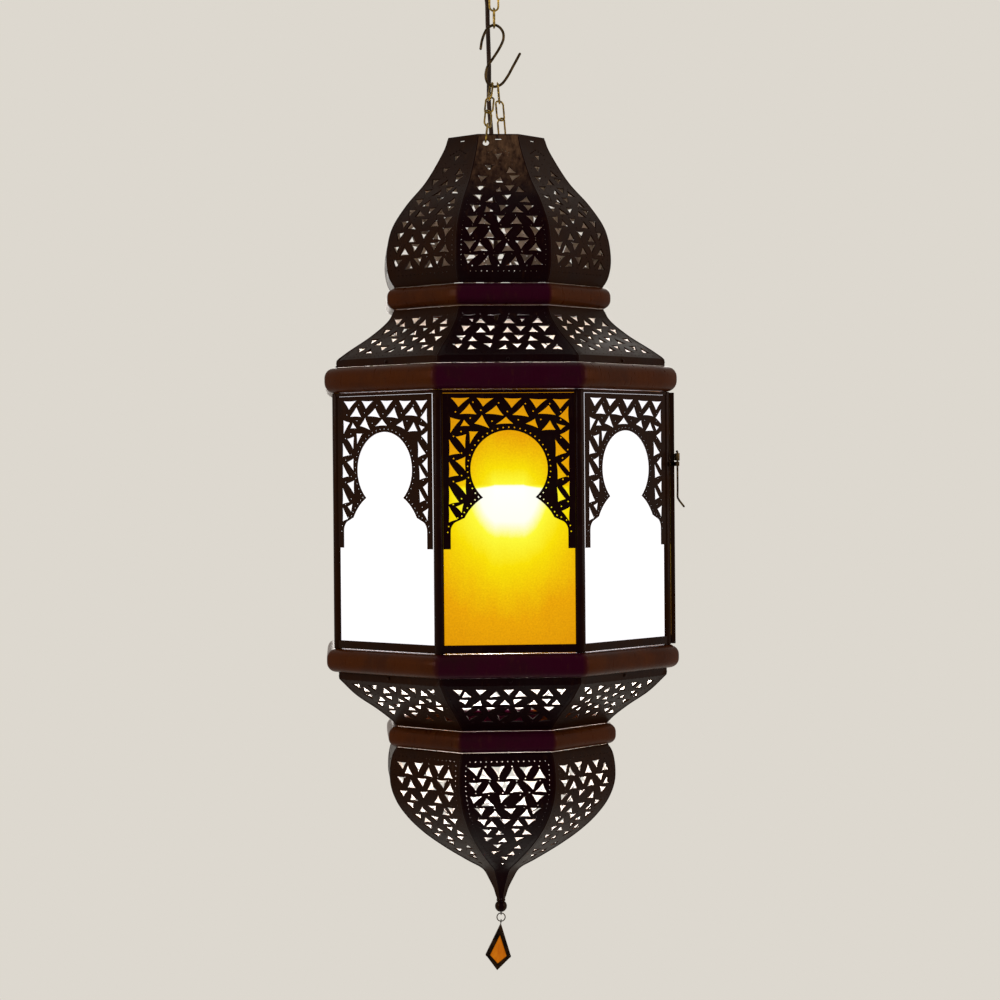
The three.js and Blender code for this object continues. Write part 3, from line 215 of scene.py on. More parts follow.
def piece(name, parts, body, nodes, finish, sharp=32.0, inside=None):
    """Joins parts, in millimetres, into one mesh that rides on a body and stands for CAD nodes. finish is a
    pair:
    the name of a slot of the record, which is not used, and the slot's material. inside is the material of
    the second of every three parts."""
    slot, material = finish
    points, faces, material_of = [], [], []
    start = 0
    for i, (part_points, part_faces) in enumerate(parts):
        points.append(np.asarray(part_points, float))
        faces += [[start + v for v in face] for face in part_faces]
        material_of += [int(i % 3 == 1)] * len(part_faces)
        start += len(part_points)
    mesh = bpy.data.meshes.new(name)
    mesh.from_pydata((np.vstack(points) * MM).tolist(), [], faces)
    mesh.materials.append(material)
    if inside:
        mesh.materials.append(inside)
        mesh.polygons.foreach_set("material_index", np.array(material_of, np.int32))
    work = bmesh.new()
    work.from_mesh(mesh)
    bmesh.ops.remove_doubles(work, verts=work.verts[:], dist=2e-6)
    bmesh.ops.recalc_face_normals(work, faces=work.faces[:])
    work.to_mesh(mesh)
    work.free()
    mesh.shade_smooth()
    mesh.set_sharp_from_angle(angle=math.radians(sharp))
    thing = bpy.data.objects.new(name, mesh)
    scene.collection.objects.link(thing)
    if nodes:
        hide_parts(nodes)
    if body:
        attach(thing, body)
    return thing


def heights(node):
    """The lowest and highest z of a solid."""
    low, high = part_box(node)
    return low.z / MM, high.z / MM


# Finishes

PANEL_EDGE = math.sin(math.pi / 8) ** 2  # x squared over the radius squared, at a corner beside the front
GLOW_TOP = -525.5  # the rim of the bulb's housing
GLOW_REACH = 200.0
PANE_OUT = 153.6  # how far a pane stands off the axis


def rgb(code):
    """A colour written as #rrggbb, in the linear values that a shader takes."""
    share = [int(code[i:i + 2], 16) / 255 for i in (1, 3, 5)]
    return tuple(c / 12.92 if c <= 0.04045 else ((c + 0.055) / 1.055) ** 2.4 for c in share) + (1.0,)


class Value:
    """A shader socket that works in sums as a number."""

    def __init__(self, finish, socket):
        self.finish, self.socket = finish, socket

    def work_out(self, operation, a, b, clamp=False):
        """The result of one Math node."""
        settings = {"operation": operation, "use_clamp": clamp}
        return self.finish.node("ShaderNodeMath", settings, {0: a, 1: b})

    def __add__(self, other):
        return self.work_out("ADD", self, other)

    def __sub__(self, other):
        return self.work_out("SUBTRACT", self, other)

    def __rsub__(self, other):
        return self.work_out("SUBTRACT", other, self)

    def __mul__(self, other):
        return self.work_out("MULTIPLY", self, other)

    def __truediv__(self, other):
        return self.work_out("DIVIDE", self, other)

    __radd__ = __add__
    __rmul__ = __mul__

    def above(self, other):
        """The greater of the two."""
        return self.work_out("MAXIMUM", self, other)

    def clamped(self):
        """The value kept between 0 and 1."""
        return self.work_out("ADD", self, 0.0, clamp=True)

    def root(self):
        """The square root."""
        return self.work_out("SQRT", self, 0.0)


class Finish:
    """A material whose nodes are written as Python expressions."""

    def __init__(self, name, **constants):
        self.material = bpy.data.materials.new(name)
        self.material.use_nodes = True
        self.tree = self.material.node_tree
        self.shader = self.tree.nodes["Principled BSDF"]
        for key, value in constants.items():
            self.shader.inputs[key.replace("_", " ").title().replace("Ior", "IOR")].default_value = value

    def node(self, kind, settings, inputs, output=0):
        """A new node with its settings, a ramp's stops among them, and with its inputs set or joined."""
        made = self.tree.nodes.new(kind)
        for key, value in settings.items():
            if key == "stops":
                ramp = made.color_ramp
                while len(ramp.elements) < len(value):
                    ramp.elements.new(0.5)
                for element, (place, colour) in zip(ramp.elements, value):
                    element.position, element.color = place, rgb(colour)
            else:
                setattr(made, key, value)
        for key, value in inputs.items():
            self.join(value, made.inputs[key])
        return Value(self, made.outputs[output])

    def join(self, value, socket):
        """Links a Value to a socket, or sets the socket to a plain value."""
        if isinstance(value, Value):
            self.tree.links.new(value.socket, socket)
        else:
            socket.default_value = value

    def place(self):
        """The place on the object, in metres."""
        return self.node("ShaderNodeTexCoord", {}, {}, "Object")

    def axes(self, vector):
        """The x, y and z of a vector."""
        split = self.node("ShaderNodeSeparateXYZ", {}, {0: vector}).socket.node
        return [Value(self, s) for s in split.outputs]

    def stretched(self, vector, scale):
        """A vector scaled along each axis."""
        return self.node("ShaderNodeMapping", {}, {"Vector": vector, "Scale": scale})

    def noise(self, vector, scale, detail=3.0, rough=0.5):
        """Smooth random values, with about scale of their waves in a metre."""
        inputs = {"Vector": vector, "Scale": scale, "Detail": detail, "Roughness": rough}
        return self.node("ShaderNodeTexNoise", {}, inputs)

    def ramp(self, value, stops):
        """A colour by stops of (value, #rrggbb)."""
        return self.node("ShaderNodeValToRGB", {"stops": stops}, {0: value})

    def mix(self, share, a, b, way="MIX"):
        """Colour a turned into b by a share. A colour is a Value or #rrggbb."""
        a, b = (rgb(colour) if isinstance(colour, str) else colour for colour in (a, b))
        return self.node("ShaderNodeMix", {"data_type": "RGBA", "blend_type": way}, {0: share, 6: a, 7: b}, 2)

    def bump(self, height, depth, strength=1.0):
        """A normal that is tilted by the slope of a height."""
        return self.node("ShaderNodeBump", {}, {"Strength": strength, "Distance": depth, "Height": height})

    def set(self, **inputs):
        """Joins the shader's inputs and gives the material."""
        for key, value in inputs.items():
            self.join(value, self.shader.inputs[key.replace("_", " ")])
        return self.material


def smear(value, low, high):
    """0 below low, 1 above high and even between, for a Value."""
    return ((value - low) / (high - low)).clamped()


def lacquer_finish(name, plum, brown, pooled, worn, gleam, rough=0.3, sheen_heights=None):
    """Dark spirit lacquer over sheet iron, brushed on by hand. The front and back panels are a plum black as
    painted shade, the ones between them browner as painted light, and all are darker where it pooled and
    paler where it is worn. The last argument gives two heights between which the front and back panels get a
    painted sheen."""
    f = Finish(name, metallic=0.1, specular_ior_level=0.07, specular_tint=rgb(gleam), coat_roughness=0.08)
    p = f.place()
    pools = f.noise(p, 26, 4, 0.6)
    streaks = f.noise(f.stretched(p, (1, 1, 0.25)), 210, 3, 0.6)
    grain = f.noise(p, 900, 2, 0.5)
    specks = smear(f.noise(p, 420, 3, 0.7), 0.62, 0.7)
    x, y, z = f.axes(p)
    # Painted shade and light: the front and back panels take the darker first colour, the side panels the
    # paler second one.
    side = smear(x * x / (x * x + y * y + 1e-6), PANEL_EDGE - 0.015, PANEL_EDGE + 0.015)
    colour = f.mix(side, plum, brown)
    colour = f.mix(smear(pools, 0.45, 0.75) * 0.6, colour, pooled)
    colour = f.mix(smear(streaks, 0.58, 0.85) * 0.3, colour, worn)
    colour = f.mix(specks * 0.3, colour, "#0b0605")
    # Painted sheen: paler lacquer on the upper front and back panels, between the two heights.
    if sheen_heights:
        low, high = sheen_heights
        painted_sheen = (1.0 - side) * smear(z, low * MM, high * MM) * smear(streaks + 0.4 * pools, 0.45, 0.95)
        colour = f.mix(painted_sheen, colour, "#5a4230")
    return f.set(
        Base_Color=colour,
        Roughness=rough + 0.2 * streaks + 0.1 * specks,
        Coat_Weight=0.06 * smear(pools, 0.35, 0.75),
        Normal=f.bump(0.6 * pools + 0.14 * streaks + 0.1 * grain, 0.0008, 0.55),
    )


def wire_finish(name, dark, bright, rough):
    """Drawn metal wire: bright where it rubs, dull and brown elsewhere."""
    f = Finish(name, metallic=1.0)
    p = f.place()
    dull = smear(f.noise(p, 160, 4, 0.6), 0.4, 0.65)
    fine = f.noise(p, 1600, 3, 0.6)
    return f.set(
        Base_Color=f.mix(dull, bright, dark),
        Roughness=rough + 0.22 * dull + 0.08 * fine,
        Normal=f.bump(fine, 0.0001, 0.5),
    )


def inside_finish(name, pale, blotch_tone):
    """The unpainted inner face of the sheet: zinc, blotched at random with a second tone."""
    f = Finish(name, metallic=0.1, specular_ior_level=0.3)
    p = f.place()
    blotch = f.noise(p, 45, 4, 0.65)
    fine = f.noise(p, 700, 2, 0.5)
    return f.set(
        Base_Color=f.mix(smear(blotch, 0.35, 0.7), pale, blotch_tone),
        Roughness=0.42 + 0.25 * blotch,
        Normal=f.bump(blotch + 0.2 * fine, 0.0006, 0.5),
    )


def lit_glass(name, stops, base, mottle, rough, gloss):
    """Glass lit by the bulb behind it. The glow is a ramp on the distance, along the pane, from the place
    nearest to the bulb: the root of the squared distance from the axis less that of the pane, plus 0.6 of the
    squared height. Above the rim of the bulb's housing the distance jumps by a step, so that the bright spot
    has a level top."""
    f = Finish(name, specular_ior_level=0.06, coat_weight=gloss, coat_roughness=0.12)
    p = f.place()
    x, y, z = f.axes(p)
    rise = z - GLOW_TOP * MM
    along = ((x * x + y * y - (PANE_OUT * MM) ** 2).above(0.0) + rise * rise * 0.6).root()
    along = along + smear(rise, -0.001, 0.003) * 0.03 + smear(rise, 0.0, 0.09) * 0.04
    seeds = f.noise(p, 620, 3, 0.65)
    clouds = f.noise(f.stretched(p, (1, 1, 0.4)), 55, 4, 0.6)
    clear = smear(along, 0.02, 0.08)
    along = along + clear * ((clouds - 0.5) * 0.03 + (seeds - 0.5) * mottle)
    glow = f.ramp(smear(along, 0.0, GLOW_REACH * MM), stops)
    glow = f.mix(smear(seeds, 0.3, 0.75) * clear * 0.22, glow, f.mix(1.0, glow, base, "MULTIPLY"))
    return f.set(
        Base_Color=f.mix(smear(clouds, 0.3, 0.7), base, f.mix(0.4, base, "#201000")),
        Emission_Color=glow,
        Emission_Strength=1.0,
        Roughness=rough + 0.15 * clouds,
        Normal=f.bump(seeds + 0.6 * clouds, 0.0005, 0.5),
    )


def pendant_finish():
    """Deep amber glass, streaky, with a soft glow from the light above."""
    f = Finish(
        "pendant_amber_glass", specular_ior_level=0.08, coat_weight=0.02, coat_roughness=0.05,
        emission_strength=0.7,
    )
    p = f.place()
    streaks = f.noise(f.stretched(p, (1, 1, 0.35)), 260, 4, 0.6)
    return f.set(
        Base_Color=f.mix(smear(streaks, 0.35, 0.7), "#5c2c02", "#7a4206"),
        Emission_Color=f.mix(smear(streaks, 0.3, 0.7), "#b45600", "#c66e02"),
        Roughness=0.22 + 0.15 * streaks,
        Normal=f.bump(streaks, 0.0004, 0.6),
    )


def plain_finish(name, colour, second, rough, scale=500, depth=0.0002, **constants):
    """Moulded or extruded plastic with a fine skin: a slow change of shade and a small grain."""
    f = Finish(name, **constants)
    p = f.place()
    slow = f.noise(p, 40, 3, 0.5)
    grain = f.noise(p, scale, 3, 0.6)
    return f.set(
        Base_Color=f.mix(smear(slow, 0.35, 0.7), colour, second),
        Roughness=rough + 0.12 * grain,
        Normal=f.bump(grain, depth, 0.6),
    )


def bulb_finish():
    """The frosted globe of the bulb, bright and warm."""
    f = Finish("lit_bulb", roughness=0.5)
    p = f.place()
    return f.set(
        Base_Color=rgb("#fff6e0"),
        Emission_Color=f.mix(f.noise(p, 30, 2, 0.5), "#fff7e6", "#ffeecb"),
        Emission_Strength=2.5,
    )


# In each lacquer the first colour is painted shade on the front and back panels and the second is painted
# light on the panels between; the rest are pooled, worn and the gleam's tint.
TIER_LACQUER = ("#100306", "#1e0d04", "#0c0405", "#38200b", "#6a3c22")
LACQUER = ("dark_lacquer", lacquer_finish("dark_lacquer", *TIER_LACQUER))
# The dome's lacquer also gets a painted sheen on its front and back panels near the neck.
NECK_SHEEN_LACQUER = ("dark_lacquer", lacquer_finish("dome_lacquer_painted_sheen", *TIER_LACQUER, sheen_heights=(-260, -215)))
MOULDING = (
    "dark_lacquer",
    lacquer_finish("moulding_lacquer", "#290416", "#3b1a06", "#180604", "#46280a", "#8a4a20", 0.2),
)
INSIDE = inside_finish("bare_inside", "#d6d0cc", "#9c8f84")
# The dome's inner face: a darker copy of the inner finish, as painted shade where the bulb's holder keeps
# light from the dome.
DOME_INSIDE_SHADED = inside_finish("dome_inside_painted_shade", "#8c7c6c", "#3a2e26")
IRON = ("dark_iron", wire_finish("dark_iron_wire", "#1a120c", "#43341f", 0.38))
BRASS = ("brass_wire", wire_finish("brass_wire", "#4a3a16", "#94793a", 0.24))
CAME = ("pendant_came", wire_finish("pendant_came", "#0e0a08", "#2b1c12", 0.42))
AMBER_STOPS = [
    (0.0, "#ffffff"), (0.115, "#fffff4"), (0.17, "#fffc38"), (0.26, "#fde400"),
    (0.36, "#f8c600"), (0.45, "#f2ac00"), (0.65, "#e49800"), (1.0, "#d88a00"),
]
AMBER = ("amber_glass", lit_glass("amber_pane", AMBER_STOPS, "#1c0f00", 0.006, 0.4, 0.012))
FROSTED_STOPS = [(0.0, "#ffffff"), (0.5, "#fdfcff"), (0.8, "#f6f3fb"), (1.0, "#ebe6f2")]
FROSTED = ("frosted_glass", lit_glass("frosted_pane", FROSTED_STOPS, "#8a868c", 0.004, 0.55, 0.03))
PENDANT = ("pendant_amber", pendant_finish())
SHEATH_MATERIAL = plain_finish("cable_sheath", "#2a1709", "#1c0f06", 0.5, 700, specular_ior_level=0.12)
SHEATH = ("cable_sheath", SHEATH_MATERIAL)
BLACK = ("black_plastic", plain_finish("black_plastic", "#15110e", "#1d1814", 0.45, 900))
HOUSING = ("bulb_housing", plain_finish("bulb_housing", "#ece8dd", "#dcd6c6", 0.3, 900, 0.0001))
BULB = ("bulb_diffuser", bulb_finish())


# Cable

CABLE_RADIUS = 2.1
GLAND_X, GLAND_Y = -10, 6
IN_GLAND = 10.6  # how far above its solid the cable starts
CABLE_CUT = 30.2  # how far down each length goes, but for the last
CABLE_TOP, CABLE_LOW = heights("cable_upper")[1], heights("cable_lower")[0]
# x, y and the height above the grip as a share of the whole
CABLE_ROUTE = [
    (GLAND_X, GLAND_Y, 1), (-10, 6, 0.986), (-9.2, 6, 0.965), (-7.4, 6.2, 0.944), (-6, 6.5, 0.922),
    (-5.7, 6.8, 0.896), (-5.6, 7, 0.869), (-5.1, 7, 0.82), (-4.7, 7, 0.77), (-4.7, 7.2, 0.735),
    (-4.9, 7.4, 0.704), (-5, 7.4, 0.672), (-4.4, 6.6, 0.64), (-3.5, 5.2, 0.608), (-2.8, 3.6, 0.571),
    (-2, 2.2, 0.523), (-1, 0.8, 0.443), (-0.3, 0, 0.363), (0, 0, 0.257), (0, 0, 0.12), (0, 0, 0),
]
# Each length's name, the bodies above and below its bend, and how far down its top the bend starts and ends
CABLE_LENGTHS = [
    ("cable_first", "ceiling_fitting", "first_link", 12, 26),
    ("cable_second", "first_link", "second_link", 0, 12),
    ("cable_third", "second_link", "third_link", 0, 4),
    ("cable_fourth", "third_link", "hook", 0, 12),
    ("cable_fifth", "hook", "strands", 0, 14),
    ("cable_last", "strands", LANTERN, 12, 55),
]


def make_cable():
    """One cable, as six lengths that meet end to end. Each goes 30 mm down but the last, which runs to the
    lantern, and the first one starts inside the gland."""
    route = np.array([(x, y, CABLE_LOW + share * (CABLE_TOP - CABLE_LOW)) for x, y, share in CABLE_ROUTE])
    level = CABLE_TOP + IN_GLAND
    line = spaced(smooth(np.vstack([(GLAND_X, GLAND_Y, level), route]), 12), 2.0)
    stands_for = {"cable_first": "cable_upper", "cable_last": "cable_lower"}
    for name, above, below, bend_start, bend_end in CABLE_LENGTHS:
        low = CABLE_LOW if below == LANTERN else level - CABLE_CUT
        ends = [np.array([np.interp(-z, -line[:, 2], line[:, k]) for k in range(3)]) for z in (level, low)]
        inner = line[(line[:, 2] < level - 0.5) & (line[:, 2] > low + 0.5)]
        path = np.vstack([ends[0], inner, ends[1]])
        wire = tube(path, CABLE_RADIUS, 16, round_ends=False)
        part = piece(name, [wire], None, stands_for.get(name), SHEATH, 60)
        bend = [(0, 0, (level - down) * MM) for down in (bend_start, bend_end)]
        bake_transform(part)
        level = low


make_cable()


# Ceiling fitting

CANOPY_LOW = heights("ceiling_canopy")[0]


def make_canopy():
    """A spun canopy with a rolled rim, and the pressed plate inside it."""
    low = CANOPY_LOW
    outer = smooth([
        (1.85, low), (18, low), (27, low + 0.6), (36.5, low + 3.6), (43.2, low + 9.5), (45.8, low + 16.5),
        (46, low + 20),
    ], 5)
    inner = outer[::-1] + np.column_stack([
        -1.2 * np.clip((outer[::-1, 0] - 20) / 20, 0, 1),
        1.2 * np.clip((46 - outer[::-1, 0]) / 12, 0, 1),
    ])
    rim = [(46, -3), (46, -1.4), (45.9, -0.3), (45.4, 0), (44.9, -0.3), (44.8, -1.4)]
    spun = turned(np.vstack([outer, rim, inner, outer[:1]]), 72)
    piece("ceiling_canopy_spun", [spun], "ceiling_fitting", "ceiling_canopy", LACQUER)
    plate = [(0, -2.5), (33, -2.5), (34, -2), (34, -0.3), (33.7, 0), (0, 0)]
    piece("ceiling_plate_pressed", [turned(plate, 48)], "ceiling_fitting", "ceiling_plate", IRON)


def make_ceiling_hook():
    """A bent hook with a thread, and the nut under the canopy."""
    low = CANOPY_LOW
    bend = low - 16
    middle = bend + 5.4
    route = [
        (0, 0, -2.8), (0, 0, low), (0, 0, middle + 9.2), (2.7, 0, middle + 5.9), (5.4, 0, middle + 1.35),
        (4.1, 0, middle - 3.5), (0, 0, bend), (-4.1, 0, middle - 3.5), (-5.67, 0, middle + 1.6),
    ]
    nut = [
        (1.2, low - 2.9), (4.6, low - 2.9), (5.0, low - 2.6), (5.0, low - 0.6), (4.6, low - 0.3),
        (1.2, low - 0.3),
    ]
    threads = [(1.55 + 0.12 * (i % 2), low - 2.9 - 0.45 * i) for i in range(12)]
    threads = [(0, threads[0][1])] + threads + [(0, threads[-1][1])]
    wire = tube(spaced(smooth(route, 10), 0.8), 1.5, 16)
    parts = [wire, turned(nut, 6), turned(threads, 16)]
    piece("ceiling_hook_bent", parts, "ceiling_fitting", "ceiling_hook", IRON)


def make_gland():
    """The gland that the cable comes out of, with its bore and its ridged grip."""
    low = CANOPY_LOW
    bore = CABLE_RADIUS + 0.1
    shell = [
        (bore, low - 8), (3.0, low - 8), (3.35, low - 7.7), (4.4, low - 3.6), (4.5, low - 3),
        (4.5, low - 0.5), (4.3, low - 0.3), (3.1, low - 0.3), (3.1, low + 3.0), (2.9, low + 3.2),
        (bore, low + 3.2), (bore, low - 8),
    ]
    ridges = [(4.5 + 0.18 * (i % 2), low - 2.9 + 0.4 * i) for i in range(6)]
    grip = [(3.9, ridges[0][1])] + ridges + [(3.9, ridges[-1][1])]
    parts = [turned(line, 32, GLAND_X, GLAND_Y) for line in (shell, grip)]
    piece("cable_gland_moulded", parts, "ceiling_fitting", "cable_gland", BLACK)


make_canopy()
make_ceiling_hook()
make_gland()


# Chain, S hook and strands

UPPER_WIDTH, UPPER_WIRE = 10.2, 1.9
STRAND_LENGTH, STRAND_WIDTH, STRAND_WIRE = 23.1, 9.5, 1.8
HOOK_WIRE, HOOK_HEIGHT = 2.56, 58.3
HOOK_SEAT = 3.55  # from the foot of the last link up to the middle of the hook's wire
FRONT_TWISTS = (30, 84, 138, 192)  # degrees
BACK_TWISTS = (10, 70, 130, 186)


def link(length, width, wire):
    """One link of round wire in the XZ plane, two half circles joined by straights, with the swell of its
    soldered joint on one side: 0.13 times the bell curve of the height above 1 mm, in millimetres."""
    radius, straight = (width - wire) / 2, (length - width) / 2
    angle = turns(200)
    upright = straight * np.sign(np.round(np.sin(angle), 9))
    line = np.column_stack([radius * np.cos(angle), 0 * angle, radius * np.sin(angle) + upright])
    path = spaced(np.vstack([line, line[:1]]), (2 * math.pi * radius + 4 * straight) / 56)[:-1]
    points, faces = tube(path, wire / 2, 14, closed=True)
    near = points[:, 0] > 0
    swell = 1 + 0.13 * np.exp(-(points[:, 2] - 1.0) ** 2) * near
    middle = np.array([radius, 0, 0])
    grown = middle + (points - middle) * np.column_stack([swell, swell, np.ones(len(swell))])
    return np.where(near[:, None], grown, points), faces


def make_upper_chain():
    """Three links, each a quarter turn from the next."""
    for i, body in enumerate(("first_link", "second_link", "third_link")):
        node = f"upper_link_{i + 1}"
        low, high = heights(node)
        points, faces = link(high - low, UPPER_WIDTH, UPPER_WIRE)
        if i % 2 == 0:
            points = points[:, [1, 0, 2]] * [-1, 1, 1]
        piece(f"chain_link_{i + 1}", [(points + [0, 0, (low + high) / 2], faces)], body, node, BRASS)


def make_s_hook():
    """A bent iron S: a smooth curve through points that are x and a share of the height between its bends."""
    shares = [
        (24.2, 0.532), (17.8, 0.333), (11.9, 0.153), (6.2, 0.036), (0, 0), (-5.8, 0.043), (-8.3, 0.166),
        (-6.7, 0.316), (-2.3, 0.432), (4.6, 0.614), (8.6, 0.763), (8.6, 0.872), (5.2, 0.962), (0, 1),
        (-6.6, 0.935), (-11.3, 0.763), (-12.9, 0.614),
    ]
    high = heights("upper_link_3")[0] + HOOK_SEAT
    low = high - HOOK_HEIGHT
    path = spaced(smooth([(x, 0, low + share * (high - low)) for x, share in shares], 10), 1.2)
    piece("s_hook_bent", [tube(path, HOOK_WIRE / 2, 14)], "hook", "s_hook", IRON)


def middle_of(node):
    """The middle of a solid's box."""
    low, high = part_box(node)
    return np.array((low + high) / 2) / MM


def make_strand(name, twists):
    """Four links in a line from the S hook's bend to a hole in the dome's neck, each twisted on the last."""
    middles = [middle_of(f"{name}_chain_link_{i + 1}") for i in range(4)]
    upright = middles[0] - middles[3]
    upright /= np.linalg.norm(upright)
    across = np.array([-upright[0], -upright[1], 0])
    side = np.cross(upright, across)
    side /= np.linalg.norm(side)
    outward = np.cross(side, upright)
    for i, (middle, twist) in enumerate(zip(middles, twists)):
        points, faces = link(STRAND_LENGTH, STRAND_WIDTH, STRAND_WIRE)
        c, s = math.cos(math.radians(twist)), math.sin(math.radians(twist))
        points = points @ np.array([[c, s, 0], [-s, c, 0], [0, 0, 1]])
        points = points @ np.array([outward, side, upright]) + middle
        node = f"{name}_chain_link_{i + 1}"
        piece(f"{name}_strand_link_{i + 1}", [(points, faces)], "strands", node, BRASS)


make_upper_chain()
make_s_hook()
make_strand("front", FRONT_TWISTS)
make_strand("back", BACK_TWISTS)


# Pierced sheet

SHEET = 1.2


class Sheet:
    """One panel of an eight-sided tier of sheet, whose profile is a line of (corner radius, z). A place on it
    is (across, down along the sheet), and its outer face stands off the axis by the corner radius times
    FLAT."""

    def __init__(self, line):
        line = spaced(line, 1.0)
        self.flat, self.z = line[:, 0] * FLAT, line[:, 1]
        self.down = np.concatenate([[0], np.cumsum(np.hypot(np.diff(self.flat), np.diff(self.z)))])
        slope = np.column_stack([np.gradient(self.flat, self.down), np.gradient(self.z, self.down)])
        self.normal = np.column_stack([-slope[:, 1], slope[:, 0]])
        self.wall = SHEET
        self.long = self.down[-1]

    def half(self, down):
        """Half the panel's width."""
        return np.interp(down, self.down, self.flat) * SLOPE

    def place(self, spots, depth, k):
        """The spots on panel k, at a depth below the outer face."""
        across, down = spots[:, 0], spots[:, 1]
        flat, z = np.interp(down, self.down, self.flat), np.interp(down, self.down, self.z)
        normal = np.column_stack([np.interp(down, self.down, self.normal[:, i]) for i in (0, 1)])
        out = flat - normal[:, 0] * depth
        level = np.clip(z - normal[:, 1] * depth, self.z.min(), self.z.max())
        return on_panel(k, across * out / flat, out, level)

    def outline(self, step=5.0):
        """The panel's outline, down its left side and up its right side."""
        down = np.linspace(0, self.long, max(2, int(self.long / step)))
        half = self.half(down)
        return np.vstack([np.column_stack([-half, down]), np.column_stack([half, down])[::-1]])

    def inner_points(self, step=6.5):
        """Rows of points inside the outline, so that the triangles between them follow the panel's curve."""
        rows = np.linspace(0, self.long, max(3, int(self.long / step)))[1:-1]
        spots = []
        for down, half in zip(rows, self.half(rows)):
            across = np.linspace(-half, half, max(3, int(2 * half / step)))[1:-1]
            spots.append(np.column_stack([across, np.full(len(across), down)]))
        return np.vstack(spots)


class FlatSheet:
    """A flat plate on a panel, with its outer face at one distance from the axis. A place on it is
    (across, z)."""

    def __init__(self, face, wall):
        self.face, self.wall = face, wall

    def place(self, spots, depth, k):
        """The spots on panel k, at a depth below the outer face."""
        return on_panel(k, spots[:, 0], np.full(len(spots), self.face - depth), spots[:, 1])


def hollow_triangle(corners, bow=0.045):
    """A triangle whose sides curve inwards: each side's points move towards the middle by 4 t (1 - t) of the
    bow, which is a share of that side's length."""
    corners = np.asarray(corners, float)
    middle = corners.mean(0)
    t = np.array([0.0, 0.25, 0.5, 0.75])[:, None]
    sides = []
    for a, b in zip(corners, np.roll(corners, -1, 0)):
        inward = middle - (a + b) / 2
        deepest = inward / np.linalg.norm(inward) * np.linalg.norm(b - a) * bow
        sides.append(a + (b - a) * t + deepest * 4 * t * (1 - t))
    return np.vstack(sides)


def dot(x, y, radius):
    """A punched dot, as six points on a circle."""
    angle = np.arange(6) * math.pi / 3
    return np.column_stack([x + radius * np.cos(angle), y + radius * np.sin(angle)])


def stencil(half_at, start, end, seed, pitch=11.8, row=12.2):
    """Rows of hollow triangles, point down and point up in turn, cut by hand so that no two are alike, with a
    dot in the strap beside each and a line of dots down both sides. The rows are shifted to the left and the
    right in turn. half_at gives half the width of the pierced field at a distance down the sheet."""
    rng = np.random.default_rng(seed)
    holes = []
    rows = int(round((end - start) / row))
    height = (end - start) / rows
    for j in range(rows):
        top = start + j * height
        half = half_at(top + height / 2)
        count = max(1, int(round(2 * half / pitch - 0.5)))
        gap = (2 * half - 9.5) / (count - 1) if count > 1 else 0
        base = min(5.9, 0.47 * gap if gap else 4.6, half)
        for i in range(count):
            x = (i - (count - 1) / 2) * gap + (0.16 * gap if j % 2 else -0.16 * gap)
            x = max(base - half, min(half - base, x))
            lean = rng.uniform(-0.55, 0.55) * base
            levels, spot = ((0.91, 0.91, 0.24), 0.08) if i % 2 else ((0.09, 0.09, 0.76), 0.92)
            corners = np.column_stack([(x - base, x + base, x + lean), top + height * np.array(levels)])
            holes.append(hollow_triangle(corners + rng.uniform(-0.8, 0.8, (3, 2))))
            holes.append(dot(x - 0.3 * lean, top + spot * height, 0.65))
    for down in np.arange(start, end, 4.6):
        for way in (-1, 1):
            holes.append(dot(way * (half_at(down) + 2.3), down, 0.55))
    return holes


def anticlockwise(loop):
    """The loop turned round if its signed area is negative."""
    x, y = loop[:, 0], loop[:, 1]
    return loop if np.sum(x * np.roll(y, -1) - np.roll(x, -1) * y) > 0 else loop[::-1]


def pierce(outline, holes, extra):
    """Fills an outline and leaves the holes open, as a constrained Delaunay triangulation. Gives its points
    and triangles, and the edges that have a triangle on one side only."""
    loops = [anticlockwise(loop) for loop in [outline] + holes]
    starts = np.cumsum([0] + [len(loop) for loop in loops])
    loop_faces = [list(range(a, b)) for a, b in zip(starts[:-1], starts[1:])]
    spots = [Vector(spot) for spot in np.vstack(loops + [extra])]
    points, _, triangles, _, _, owners = delaunay_2d_cdt(spots, [], loop_faces, 1, 1e-4, True)
    kept = np.array([t for t, owner in zip(triangles, owners) if len(t) == 3 and list(owner) == [0]])
    points = np.array([(p.x, p.y) for p in points])
    edges = np.vstack([kept[:, [0, 1]], kept[:, [1, 2]], kept[:, [2, 0]]])
    forward = edges[:, 0] * len(points) + edges[:, 1]
    backward = edges[:, 1] * len(points) + edges[:, 0]
    return points, kept, edges[~np.isin(forward, backward)]


def shell_parts(sheet, pierced, k, open_sides):
    """The outer face, the inner face and the cut edges of a pierced sheet on panel k, as three parts.
    open_sides leaves out the edges at the panel's two sides, where the next panels join on."""
    points, triangles, rim = pierced
    outer, inner = sheet.place(points, 0, k), sheet.place(points, sheet.wall, k)
    if open_sides:
        at_side = np.abs(np.abs(points[:, 0]) - sheet.half(points[:, 1])) < 0.02
        rim = rim[~(at_side[rim[:, 0]] & at_side[rim[:, 1]])]
    n = len(points)
    walls = np.column_stack([rim[:, 1], rim[:, 0], rim[:, 0] + n, rim[:, 1] + n])
    return [
        (outer, triangles.tolist()),
        (inner, triangles[:, ::-1].tolist()),
        (np.vstack([outer, inner]), walls.tolist()),
    ]


def seam_beads(line, radius=0.75, sunk=0.55):
    """A thin soldered bead down each corner of a tier, sunk into the sheet."""
    line = spaced(line, 3.0)
    out = line[:, 0] - sunk
    beads = []
    for k in range(8):
        angle = (k + 0.5) * math.pi / 4
        path = np.column_stack([out * math.sin(angle), -out * math.cos(angle), line[:, 1]])
        steady = (math.cos(angle), math.sin(angle), 0)
        beads.append(tube(path[1:-1], radius, 8, steady=steady))
    return beads


